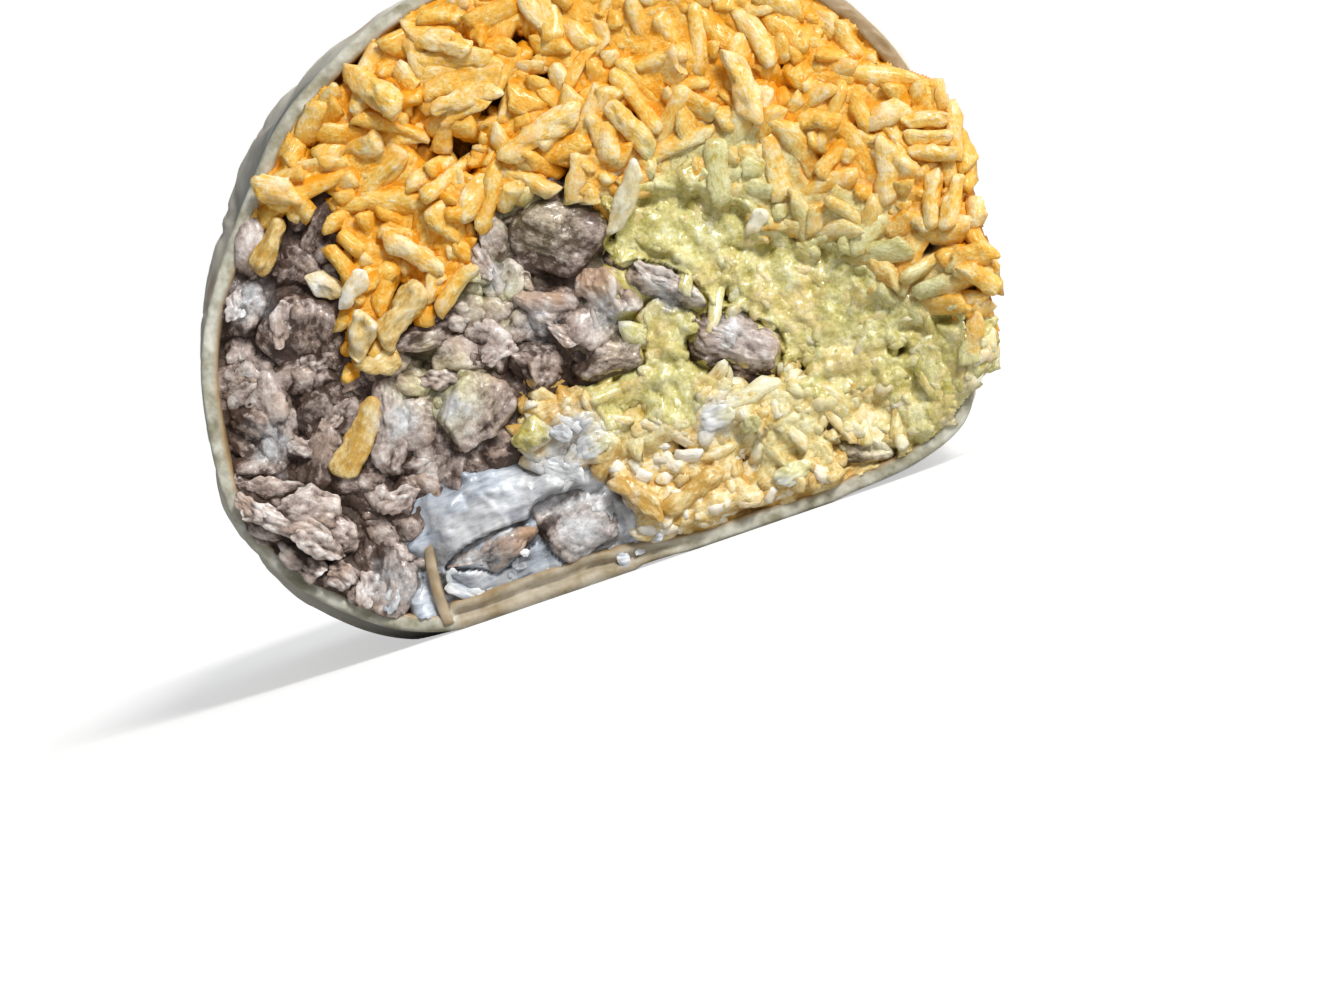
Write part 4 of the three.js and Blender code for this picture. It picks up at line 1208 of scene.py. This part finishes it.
def block(height, keep, back):
    """A closed block whose front is the height map where keep is true. Walls run back from the front's edge
    to a rear at y = back, or just behind the front where that lies further back, and a fan to one point
    closes it. Returns the cells that it uses, its points and faces, and how many of its points are the
    rear's."""
    keep = keep[:-1, :-1] & keep[1:, :-1] & keep[1:, 1:] & keep[:-1, 1:]
    used = np.zeros(X.shape, bool)
    for di, dj in ((0, 0), (1, 0), (1, 1), (0, 1)):
        used[di : X.shape[0] - 1 + di, dj : X.shape[1] - 1 + dj] |= keep
    number = np.full(X.shape, -1)
    number[used] = np.arange(used.sum())
    front = np.stack([X[used], -height[used], Z[used]], axis=1)
    i, j = np.nonzero(keep)
    a, b, c, d = number[i, j], number[i + 1, j], number[i + 1, j + 1], number[i, j + 1]
    padded = np.pad(keep, 1)
    sides = {(0, -1): (a, b), (1, 0): (b, c), (0, 1): (c, d), (-1, 0): (d, a)}
    starts, stops = [], []
    for (di, dj), (p, q) in sides.items():
        open_side = ~padded[i + 1 + di, j + 1 + dj]
        starts.append(p[open_side])
        stops.append(q[open_side])
    p, q = np.concatenate(starts), np.concatenate(stops)
    border, places = np.unique(np.concatenate([p, q]), return_inverse=True)
    places = places.ravel()
    behind = front[border].copy()
    behind[:, 1] = np.maximum(back, behind[:, 1] + 0.05)
    middle = behind.mean(0)
    middle[1] = back
    points = np.concatenate([front, behind, [middle]])
    back_p, back_q = places[: len(p)] + len(front), places[len(p) :] + len(front)
    last = np.full(len(p), len(front) + len(border))
    corners = [(a, b, c), (a, c, d), (q, p, back_p), (q, back_p, back_q), (back_q, back_p, last)]
    faces = np.concatenate([np.stack(triangle, axis=1) for triangle in corners])
    return used, points, faces, len(border) + 1


def filled_front(name):
    """The front of a bed: what lies on it, smoothed, with the bed's own relief. Returns it and the
    relief."""
    recess, gap, cells = BEDS[name][:3]
    relief = over_map(bed_relief, name)
    filled = np.where(HEIGHT > NOTHING / 2, HEIGHT, TARGET - recess)
    wander = 0.2 * over_map(layered, 4, 2, 50)
    return blurred(np.minimum(filled, TARGET + 1.5), cells) - gap - wander + relief, relief


def keep_block(name, slot, replaced, height, relief, keep, back):
    """Sets a block aside, raising the height map to it where it stands in front of what is there."""
    used, points, faces, rear_count = block(height, keep, back)
    visible = used & (height > HEIGHT)
    HEIGHT[visible] = height[visible]
    # The bed's dips, and its hidden rear, get the hollow mask that darkens the colour as painted shade.
    hollow = np.concatenate([np.clip(-relief[used] * 1.4, 0, 1), np.ones(rear_count)])
    keep_piece(name, points, faces, slot, replaced, hollow, 0.5)


def cream_front(relief):
    """The cream's front: near the mean front, with its relief, and raised to a folded sheet."""
    recess = BEDS["sour_cream"][0]
    sheet = CREAM_RISE * smooth(0, 1, smear_map(CREAM_SHEET, 2.6))
    return TARGET - recess + relief + 0.3 + sheet


def add_bed(name):
    """One filling as a block through the roll, with its front round what lies on it. The front falls away
    past the border of its ground, and keeps under the pieces of steak."""
    height, relief = filled_front(name)
    if name == "sour_cream":
        height = cream_front(relief)
    height -= BORDER_FALL * np.clip(FALLS_FROM.get(name, 0) - GROUND[name], 0, None) ** 2
    if name != "steak_heap":
        steak = blurred(np.maximum(STEAK_FRONT, TARGET - 4), 1)
        deep, shallow, under = UNDER_STEAK.get(name, (1.8, 0.9, 0.5))
        shown = smooth(-deep, -shallow, steak - TARGET)
        height += shown * (np.minimum(height, steak - under) - height)
    off_second_ply = Z > PLY + SECOND_PLY * overlap_at(X) - 0.5
    keep = (EDGE > PLY - 0.6) & (GROUND[name] > -BORDER) & off_second_ply
    slot = "steak" if name == "steak_heap" else name
    keep_block(f"{name}_bed", slot, [name], height, relief, keep, BED_BACK)


# How far the spilled filling reaches past the rim, and where the ends of its grains may lie over it
SPILL_REACH = 2.1
SPILL_SIDE, SPILL_LOW, SPILL_HIGH = 29, 4, 42


def spill_zone():
    """How far inside the outline of the spilled filling each spot lies: it reaches past the rim at the
    right."""
    ragged = 0.9 * over_map(noise, 3.2, 80)
    ends = np.minimum(smooth(2, 10, Z), smooth(45, 39, Z)) * smooth(24, 31, X)
    return EDGE + (SPILL_REACH + ragged) * ends - 3.0 * (1 - ends)


def spill_lip(inside, rise):
    """The spilled filling's height over the rim, rounded off at its outline."""
    return RIM_ROUNDING + 0.2 + rise * np.sqrt(np.clip(inside / 2.5, 0, 1))


def lay_spill():
    """Raises the height map over the rim to what the spilled grains lie on."""
    inside = spill_zone()
    here = (inside > 0) & (EDGE < PLY + 1)
    top = np.minimum(spill_lip(inside, 1.6), np.maximum(TARGET - 1.2, 0.8))
    HEIGHT[here] = np.maximum(HEIGHT[here], top[here])


def add_spill():
    """The filling that stands over the rim, as a block that ends just in front of it."""
    inside = spill_zone()
    height, relief = filled_front("rice")
    height = np.minimum(height, spill_lip(inside, 2.6))
    keep = (inside > 0) & (EDGE < PLY + 1)
    keep_block("rice_over_rim", "rice", [], height, relief, keep, -RIM_ROUNDING - 0.05)


# ---------- grains ----------

# How far under the height map a point of a grain still counts as showing, and what share of them has to
SHOWN_DEPTH, SHOWN_SHARE = 0.4, 0.03
TOP_RINGS, TOP_SIDES = 30, 22


def turned(a, b, angle):
    """The places (a, b) turned by an angle, anticlockwise."""
    return a * np.cos(angle) - b * np.sin(angle), a * np.sin(angle) + b * np.cos(angle)


def grain_surface(placed, seed, rings, sides):
    """Cooked grains, all at once. The section is a polygon with rounded corners, r = (sum of max(0, cos(a -
    a_k) / d_k)^p)^(-1/p) over its flats k, and along s from -1 to 1 its girth is (1 - |s|^n)^0.5. Each grain
    is twisted, tapered, cut aslant at both ends, bent to one side, roughened, rolled about its length,
    sloped, turned on the face and set in its place. Returns the points and where each lies in its own
    grain."""
    count = len(placed)
    random = np.random.default_rng(seed)
    columns = (column[:, None, None] for column in placed.T)
    x0, y0, z0, turn, slope, roll, length, width, depth, _, blunt = columns

    def spread(low, high):
        return random.uniform(low, high, (count, 1, 1))

    s = np.sin(np.linspace(-1, 1, rings) * np.pi / 2 * 0.97)[None, :, None]
    angle = (np.arange(sides) / sides * 2 * np.pi)[None, None, :]
    twisted = angle + spread(-0.5, 0.5) * s
    support = 0
    for flat in range(6):
        facing = twisted - flat * np.pi / 3 - spread(-0.4, 0.4)
        reach = spread(0.72, 1.08) * (1 + spread(-0.22, 0.22) * s)
        support = support + np.maximum(0, np.cos(facing) / reach) ** 10
    section = support ** (-1 / 10)
    waves = 1 + spread(0.02, 0.08) * np.sin(s * spread(2, 6) + spread(0, 6.3))
    girth = (1 - np.abs(s) ** blunt) ** 0.5 * (1 + spread(-0.2, 0.2) * s) * section * waves
    a = girth * width / 2 * np.cos(angle)
    b = girth * depth / 2 * np.sin(angle)
    cut = np.where(s > 0, spread(-1.1, 1.1), spread(-1.1, 1.1)) * np.abs(s) ** 3
    along = s * length / 2 + cut * (a + 0.5 * b)
    a = a + spread(-0.06, 0.06) * length * (s**2 - 0.3)
    shape = np.stack([along, a, b], axis=-1)
    offset = np.arange(count)[:, None, None, None] * 9.7
    drawn = (shape * (0.5, 1, 1) + offset).reshape(-1, 3)
    coarse, medium, fine = (noise(drawn, size, seed + k) for k, size in enumerate((1.4, 0.7, 0.35)))
    rough = 0.2 * coarse + 0.2 * medium + 0.1 * fine
    notch = 0.9 * np.clip(noise(drawn, 1.1, seed + 3) - 0.2, 0, 1)
    shape[..., 1:] *= (1 + rough - notch).reshape(shape.shape[:3])[..., None]
    place = (shape + offset).reshape(-1, 3)
    side, out = turned(shape[..., 1], shape[..., 2], roll)
    run, out = turned(shape[..., 0], out, slope)
    x, z = turned(run, side, turn)
    return np.stack([x + x0, y0 - out, z + z0], axis=-1).reshape(-1, 3), place


def grain_faces(count, rings, sides):
    """Quads along every grain, and fans over both ends, as triangles."""
    per = rings * sides
    quads = grid_faces(rings, sides)
    corner = np.arange(1, sides - 1)
    low = np.stack([np.zeros_like(corner), corner, corner + 1], 1)
    high = low[:, ::-1] + (rings - 1) * sides
    one = np.concatenate([quads[:, [0, 1, 2]], quads[:, [0, 2, 3]], low, high])[:, ::-1]
    return (one[None] + per * np.arange(count)[:, None, None]).reshape(-1, 3)


def bed_down(x, z, turn, size, sink):
    """Lets a grain down on the height map: it slopes with what is under it and stops where it first
    touches."""
    length, _, depth = size
    s = np.linspace(-0.4, 0.4, 7) * length
    under = read(HEIGHT, x + s * math.cos(turn), z + s * math.sin(turn))
    known = under > NOTHING / 2
    if known.sum() < 2:
        return None
    s, under = s[known], under[known]
    spread = s - s.mean()
    rise = float(np.clip((spread @ under) / (spread @ spread), -0.6, 0.6))
    level = float(np.max(under - rise * s)) + depth / 2 - sink
    return level, math.atan(rise)


def stamp_bar(x, z, turn, level, slope, size):
    """Raises the height map over a grain's footprint to its upper side."""
    length, width, depth = size
    reach = length / 2 * math.cos(slope) + depth / 2 * abs(math.sin(slope))
    i0, i1 = np.searchsorted(MAP_X, [x - reach, x + reach])
    j0, j1 = np.searchsorted(MAP_Z, [z - reach, z + reach])
    dx, dz = X[i0:i1, j0:j1] - x, Z[i0:i1, j0:j1] - z
    run = dx * math.cos(turn) + dz * math.sin(turn)
    side = dz * math.cos(turn) - dx * math.sin(turn)
    inside = 1 - np.abs(run / reach) ** 4 - (side / (width / 2)) ** 2
    top = level + np.clip(math.tan(slope) * run, -length / 2, length / 2 * abs(math.sin(slope)))
    top = top + depth / 2 * np.sqrt(np.clip(inside, 0, 1))
    patch = HEIGHT[i0:i1, j0:j1]
    HEIGHT[i0:i1, j0:j1] = np.where(inside > 0, np.maximum(patch, top), patch)


GRAINS = {
    # piece: kind, number, mean size, sink, how far above the mean front, share of steep ones, tones, and how
    # many rings of how many points a grain has
    "rice_grains": ("rice", 1100, (6.6, 2.6, 1.7), 0.85, 0.4, 0.35, (0.1, 1.1), 9, 12),
    "rice_broken": ("rice", 700, (3.0, 2.1, 1.3), 0.7, 0.3, 0.4, (0.2, 1.2), 6, 9),
    "cheesy_grains": ("cheesy_rice", 200, (5.8, 2.5, 1.5), 0.9, -0.3, 0.3, (0.2, 1.0), 9, 12),
    "cheesy_broken": ("cheesy_rice", 260, (2.4, 1.8, 1.2), 0.6, 0.1, 0.4, (0.4, 1.4), 6, 9),
    "coated_grains": ("guacamole", 190, (4.8, 2.2, 1.4), 1.1, -0.9, 0.3, (0.2, 0.9), 9, 12),
    "coated_broken": ("guacamole", 200, (2.4, 1.6, 1.0), 0.8, -0.8, 0.4, (0.3, 1.1), 6, 9),
}


def free_turn(x, z, reach, first):
    """The first of three directions in which a grain's ends stay inside the tortilla, but for the side where
    the filling spills over. None where there is none."""
    spills = x > SPILL_SIDE and SPILL_LOW < z < SPILL_HIGH
    ends = np.array([-1, 1]) * reach
    for turn in (first, first + 1.0, first + 2.0):
        edge = read(EDGE, x + ends * math.cos(turn), z + ends * math.sin(turn)).min()
        if edge > (-2.2 if spills else PLY + 0.3):
            return turn
    return None


def drop_grains(name, seed):
    """Drops grains on one ground, each where the ground lies deepest of a few places drawn. Some stand
    steeply in the mass with one end out, and the others lie on what is under them."""
    kind, number, mean_size, sink, above, steep_share, tones = GRAINS[name][:7]
    random = np.random.default_rng(seed)
    placed = []
    for _ in range(number * 3):
        if len(placed) >= number:
            break
        i, j = lowest_spot(kind, random, above, 0.9)
        x, z = MAP_X[i], MAP_Z[j]
        size = np.array(mean_size) * random.uniform((0.5, 0.75, 0.75), (1.4, 1.25, 1.2))
        first = 1.5 * noise(np.array([[x, 0.0, z]]), 14, seed)[0] * np.pi + random.normal(0, 0.65)
        steep = random.random() < steep_share and EDGE[i, j] > PLY + 3
        slope = random.choice((-1, 1)) * random.uniform(0.5, 1.2)
        turn = free_turn(x, z, size[0] / 2 * (math.cos(slope) if steep else 1), first)
        if turn is None:
            continue
        if steep:
            top = min(HEIGHT[i, j] + random.uniform(0.3, 1.4), TARGET[i, j] + above + 0.5)
            level = top - size[0] / 2 * abs(math.sin(slope))
        else:
            bedded = bed_down(x, z, turn, size, sink)
            if bedded is None or bedded[0] > TARGET[i, j] + above + 1.0:
                continue
            level, slope = bedded
        stamp_bar(x, z, turn, level, slope, size)
        roll, tone, blunt = random.uniform((-0.6, tones[0], 4), (0.6, tones[1], 22))
        placed.append((x, -level, z, turn, slope, roll, *size, tone, blunt))
    return np.array(placed)


def add_grains(name, kind, placed, seed, rings, sides):
    """Grains of one kind as one mesh, without those that lie wholly under what is on them."""
    points, place = grain_surface(placed, seed, rings, sides)
    shown = -points[:, 1] > read(HEIGHT, points[:, 0], points[:, 2]) - SHOWN_DEPTH
    kept = shown.reshape(len(placed), -1).mean(axis=1) > SHOWN_SHARE
    keep = np.repeat(kept, rings * sides)
    tone = np.repeat(placed[kept, 9], rings * sides)
    faces = grain_faces(kept.sum(), rings, sides)
    keep_piece(name, points[keep], faces, kind, [], 0.0, tone, place[keep])


# ---------- grains that lie on top ----------

# kind, across, up, length, width, depth, angle on the leaning face in degrees, sink, tone, bluntness
TOP_GRAINS = [
    ("cheesy_rice", -24.8, -16.9, 9.6, 3.5, 1.3, 64, 0.2, 0.18, 10),
    ("cheesy_rice", -20.2, -3.4, 8.0, 3.2, 1.9, 55, 0.4, 0.3, 9),
    ("cheesy_rice", -24.4, -6.0, 5.6, 3.2, 1.8, 75, 0.4, 0.5, 8),
    ("cheesy_rice", -22.4, -8.6, 4.4, 2.8, 1.6, 30, 0.4, 0.35, 6),
    ("cheesy_rice", -28.0, -0.3, 5.0, 3.0, 1.5, -25, 0.3, 0.9, 2.2),
    ("cheesy_rice", -25.3, -0.9, 5.2, 2.6, 1.5, 60, 0.3, 0.85, 2.4),
    ("cheesy_rice", 4.1, 8.9, 8.2, 2.5, 1.6, 68, 0.5, 0.85, 8),
    ("cheesy_rice", 18.4, 6.5, 3.2, 1.6, 1.2, 60, 0.3, 1.2, 5),
    ("rice", 16.8, 21.1, 8.1, 2.9, 1.6, -72, 0.2, 0.9, 16),
    ("rice", -5.2, 16.0, 10.2, 2.9, 1.6, 33, 0.4, 0.9, 9),
    ("rice", -23.2, 20.9, 9.0, 3.2, 2.0, -35, 0.4, 0.9, 12),
    ("rice", -15.6, 25.7, 6.4, 2.3, 1.2, -14, 0.2, 1.0, 9),
    ("rice", -14.4, 24.2, 8.4, 2.4, 1.2, 4, 0.5, 0.8, 12),
    ("rice", -13.8, 22.8, 9.2, 2.3, 1.2, 9, 0.5, 1.0, 10),
    ("rice", -13.6, 21.3, 9.0, 2.4, 1.2, 14, 0.5, 0.7, 12),
    ("rice", -13.2, 19.8, 8.0, 2.2, 1.1, 19, 0.5, 0.9, 9),
    ("rice", -13.4, 18.4, 6.0, 2.0, 1.1, 26, 0.5, 0.6, 9),
    ("rice", 4.7, 16.5, 7.7, 2.5, 1.7, -48, 0.3, 0.8, 9),
    ("rice", -18.6, 3.0, 7.6, 2.8, 1.8, -29, 0.2, 1.1, 6),
    ("rice", -33.7, 9.8, 5.2, 3.0, 1.8, -10, 0.3, 0.9, 6),
    ("cheesy_rice", -34.5, 3.9, 6.6, 2.6, 1.8, 68, 0.4, 0.1, 8),
    ("cheesy_rice", 5.5, -23.2, 7.0, 2.4, 1.6, -36, 0.3, 0.1, 8),
    ("cheesy_rice", 11.4, -22.7, 7.8, 2.4, 1.6, 39, 0.3, 0.15, 8),
    ("guacamole", -5.8, -16.6, 4.4, 3.9, 3.0, 0, 0.6, 0.3, 2.2),
    ("rice", 36.4, 17.5, 5.2, 1.9, 1.4, 4, 0.2, 0.9, 12),
    ("rice", 36.8, 15.6, 5.4, 1.9, 1.4, 0, 0.2, 0.8, 12),
    ("rice", 37.2, 13.8, 5.6, 2.0, 1.4, -4, 0.2, 0.7, 12),
    ("rice", 37.2, 9.0, 7.0, 2.1, 1.5, 84, 0.2, 0.9, 12),
    ("rice", 39.3, 8.6, 6.4, 2.0, 1.5, 78, 0.2, 0.7, 12),
    ("rice", 41.5, -6.0, 6.0, 2.3, 1.6, 82, 0.2, 0.8, 10),
    ("rice", 41.2, 2.6, 5.6, 2.4, 1.6, 20, 0.2, 0.4, 10),
    ("rice", 42.2, 0.4, 5.2, 2.3, 1.6, -35, 0.2, 0.5, 10),
]


def lay_top_grains():
    """Lays the named grains one by one on what is there, and adds them as one mesh for each kind."""
    rows = {}
    for kind, across, up, length, width, depth, angle, sink, tone, blunt in TOP_GRAINS:
        x, z = to_rest(across, up)
        turn = math.radians(angle) - REST_TURN
        size = np.array([length, width, depth])
        level, slope = bed_down(x, z, turn, size, sink + 0.45)
        near_rim = EDGE[np.searchsorted(MAP_X, x), np.searchsorted(MAP_Z, z)] < PLY + 2
        if near_rim:
            slope = float(np.clip(slope, -0.2, 0.2))
        stamp_bar(x, z, turn, level, slope, size)
        rows.setdefault(kind, []).append((x, -level, z, turn, slope, 0.0, *size, tone, blunt))
    for k, (kind, placed) in enumerate(rows.items()):
        add_grains(f"{kind}_on_top", kind, np.array(placed), 500 + k, TOP_RINGS, TOP_SIDES)


# ---------- smears, and all the pieces put in ----------

# Where guacamole and cream are smeared over what isn't theirs: across, up, radius.
GREEN_SMEARS = [
    (14, 6, 9), (27, -2, 10), (8, -4, 6), (35, -12, 6), (22, -12, 7), (8, 8, 4), (-16, -12, 2.2),
    (4, -15, 2), (24, -17, 2), (-5, 6.5, 1.4), (-10, -1, 1.2),
]
# How much of that green some pieces take, or all of a filling's.
GREEN_SHARE = {
    "steak": 0.7, "guacamole": 0.5, "cheesy_rice": 0.65, "meat_in_guacamole": 0.1, "meat_smeared": 0.3,
    "meat_smooth": 0.3, "meat_round": 0.35, "meat_tip": 0.25, "meat_middle": 0.2, "meat_bright": 0.3,
    "meat_flaps": 0.2, "cheesy_rice_on_top": 0.5, "white_crumbs": 0.3,
}
CREAM_SMEARS = [
    (-12, -28, 3), (0.5, -26, 3), (-4, -22, 3), (-14, -14, 1), (-2, -17, 2), (13.8, -14.7, 1),
    (-21, -33, 1.5), (-20.5, -15, 1), (-34.6, -17.5, 1.3), (1.6, -3.6, 0.8), (-5.6, -4.2, 0.6),
    (-9.4, 0.6, 0.5), (-36.5, -2.4, 1), (15.5, -5.5, 0.6), (8.5, -1.2, 0.8),
]
# How much painted shade the gaps close round a spot put on it, where 0.55 is common.
CREVICE_SHADE = {"steak": 0.75}


def add_finished():
    """Adds every filling's mesh, with how deep each point lies under the blurred height of the whole face,
    which darkens it as painted shade, and how much guacamole and cream is smeared over it. Some of the small
    grains and lumps take little of the green."""
    known = np.where(HEIGHT > NOTHING / 2, HEIGHT, TARGET - 1)
    near, far = blurred(known, 2), blurred(known, 8)
    green, cream = smear_map(GREEN_SMEARS, 6.0), smear_map(CREAM_SMEARS, 4.5)
    for name, points, faces, slot, replaced, masks in finished:
        x, y, z = points.T
        # Painted shade: the hollow mask grows where a point lies below the blurred face close round it and
        # further round.
        close = np.clip((read(near, x, z) + y + 0.15) / 1.5, 0, 1)
        deep = np.clip((read(far, x, z) + y) / 3.0, 0, 1)
        crevice_shade = CREVICE_SHADE.get(slot, 0.55)
        masks["hollow"] = np.clip(masks["hollow"] * 0.5 + crevice_shade * close + 0.75 * deep, 0, 1)
        small = name.endswith(("grains", "bits", "crumbs", "broken"))
        bare = 0.55 * np.sin(masks["tone"] * 37) ** 2 if small else 0.0
        speckle = 0.35 * noise(points, 2.2, 70) + 0.25 * noise(points, 0.9, 71)
        greener, creamier = read(green, x, z), read(cream, x, z)
        greener = np.clip(greener * 1.2 + 0.6 * speckle - 0.1 - bare, 0, 1) * (greener > 0)
        creamier = np.clip(creamier * 1.1 + speckle - 0.35, 0, 1) * (creamier > 0)
        masks["green"] = greener * GREEN_SHARE.get(name, GREEN_SHARE.get(slot, 1.0))
        masks["cream"] = creamier * (0.85 if slot == "steak" else 1.0)
        add_mesh(name, points, faces, slot, replaced, masks)


# ---------- stage, camera, light ----------

def add_stage():
    """A wide level floor under the half, as light to the camera as the surround and duller in what it
    gives."""
    mesh = bpy.data.meshes.new("floor")
    half = 60.0
    corners = [(-half, -half, 0), (half, -half, 0), (half, half, 0), (-half, half, 0)]
    mesh.from_pydata(corners, [], [(0, 1, 2, 3)])
    floor = put_in_scene("floor", mesh)
    material, tree, shader = new_material("pale_floor")
    path = tree.nodes.new("ShaderNodeLightPath")
    wire(tree, path.outputs["Is Camera Ray"], shader.inputs["Emission Color"])
    shader.inputs["Base Color"].default_value = (0.55, 0.55, 0.55, 1)
    shader.inputs["Emission Strength"].default_value = 0.54
    shader.inputs["Roughness"].default_value = 1.0
    shader.inputs["Specular IOR Level"].default_value = 0.0
    mesh.materials.append(material)


def direction(azimuth, elevation):
    """The way to an azimuth, 0 in front of the cut and positive to the right, and an elevation, in
    degrees."""
    a, e = math.radians(azimuth), math.radians(elevation)
    return Vector((math.sin(a) * math.cos(e), -math.cos(a) * math.cos(e), math.sin(e)))


def add_camera():
    """The camera looks at the point of the cut that lies in the middle of the frame, rolled by REST_TURN."""
    across = (FRAME_PX[0] / 2 - LAYOUT_CENTRE_PX[0]) / PX_PER_MM
    up = (LAYOUT_CENTRE_PX[1] - FRAME_PX[1] / 2) / PX_PER_MM
    x, z = to_rest(across, up)
    aim = Vector((np.array([x, 0, z]) + SHIFT) * MM)
    back = direction(AZIMUTH, ELEVATION)
    data = bpy.data.cameras.new("camera")
    data.sensor_width = SENSOR
    data.lens = SENSOR * DISTANCE / (FRAME_PX[0] / PX_PER_MM)
    data.clip_start, data.clip_end = 0.01, 200
    camera = put_in_scene("camera", data)
    look = (-back).to_track_quat("-Z", "Y").to_matrix().to_4x4()
    place = Matrix.Translation(aim + back * DISTANCE * MM)
    camera.matrix_world = place @ look @ Matrix.Rotation(-REST_TURN, 4, "Z")
    bpy.context.scene.camera = camera


def add_sun(azimuth, elevation, width, strength, colour):
    """A sun that shines from an azimuth and an elevation, and looks width degrees wide."""
    data = bpy.data.lights.new("sun", "SUN")
    data.energy = strength
    data.angle = math.radians(width)
    data.color = colour
    light = put_in_scene("sun", data)
    light.rotation_mode = "QUATERNION"
    light.rotation_quaternion = (-direction(azimuth, elevation)).to_track_quat("-Z", "Y")


def add_world(light, seen):
    """A white surround for the camera, and a dimmer one for the light that it gives: 0.67 (1 + x)^2 + 0.1 of
    it, where x runs from -1 at the left to 1 at the right."""
    world = bpy.data.worlds.new("surround")
    bpy.context.scene.world = world
    world.use_nodes = True
    tree = world.node_tree
    shown = tree.nodes["Background"]
    shown.inputs["Color"].default_value = (1, 1, 1, 1)
    shown.inputs["Strength"].default_value = seen
    giving = tree.nodes.new("ShaderNodeBackground")
    giving.inputs["Color"].default_value = (0.95, 0.97, 1, 1)
    parts = tree.nodes.new("ShaderNodeSeparateXYZ")
    wire(tree, tree.nodes.new("ShaderNodeTexCoord").outputs["Generated"], parts.inputs[0])
    rightwards = math_node(tree, "POWER", plus(tree, parts.outputs["X"], 1.0), 2.0)
    given = times(tree, rightwards, 0.67 * light)
    wire(tree, plus(tree, given, 0.1 * light), giving.inputs["Strength"])
    path = tree.nodes.new("ShaderNodeLightPath")
    mixed = tree.nodes.new("ShaderNodeMixShader")
    wire(tree, path.outputs["Is Camera Ray"], mixed.inputs[0])
    wire(tree, giving.outputs[0], mixed.inputs[1])
    wire(tree, shown.outputs[0], mixed.inputs[2])
    wire(tree, mixed.outputs[0], tree.nodes["World Output"].inputs["Surface"])


add_camera()
add_world(0.5, 1.0)
add_sun(34, 38, 16, 2.75, (1, 0.98, 0.94))
add_stage()
bpy.context.scene.view_settings.view_transform = "Standard"

add_tortilla()
for filling in BEDS:
    lay_support(filling)
add_steak()
lay_spill()
add_lumps("meat_bits", "steak_heap", "steak", 130, (1.6, 3.6), -0.4, 201, BALL_MIDDLE, (0.1, 1.1))
lay_lumps("meat_flaps", FLAPS, "steak", 0.35, 0.75, 701, 1.2, 6)
add_bed("sour_cream")
dropped = {name: drop_grains(name, 61 + k) for k, name in enumerate(GRAINS)}
for k, (name, placed) in enumerate(dropped.items()):
    add_grains(name, GRAINS[name][0], placed, 61 + k, *GRAINS[name][7:])
for name, ground, number, sizes, above, seed, tones in (
    ("cheese_crumbs", "cheesy_rice", 90, (0.6, 1.6), 0.1, 301, (0.7, 1.2)),
    ("white_crumbs", "guacamole", 24, (0.4, 0.8), -0.3, 331, (1.1, 1.5)),
):
    add_lumps(name, ground, "cheesy_rice", number, sizes, above, seed, BALL_SMALL, tones, 1.1)
lay_top_grains()
dollops = [(*row, DOLLOP_TONE) for row in DOLLOPS]
lay_lumps("cream_dollops", dollops, "sour_cream", 0.3, 0.5, 801, 0.6, 1)
for filling in ("steak_heap", "rice", "cheesy_rice", "guacamole"):
    add_bed(filling)
add_spill()
add_finished()
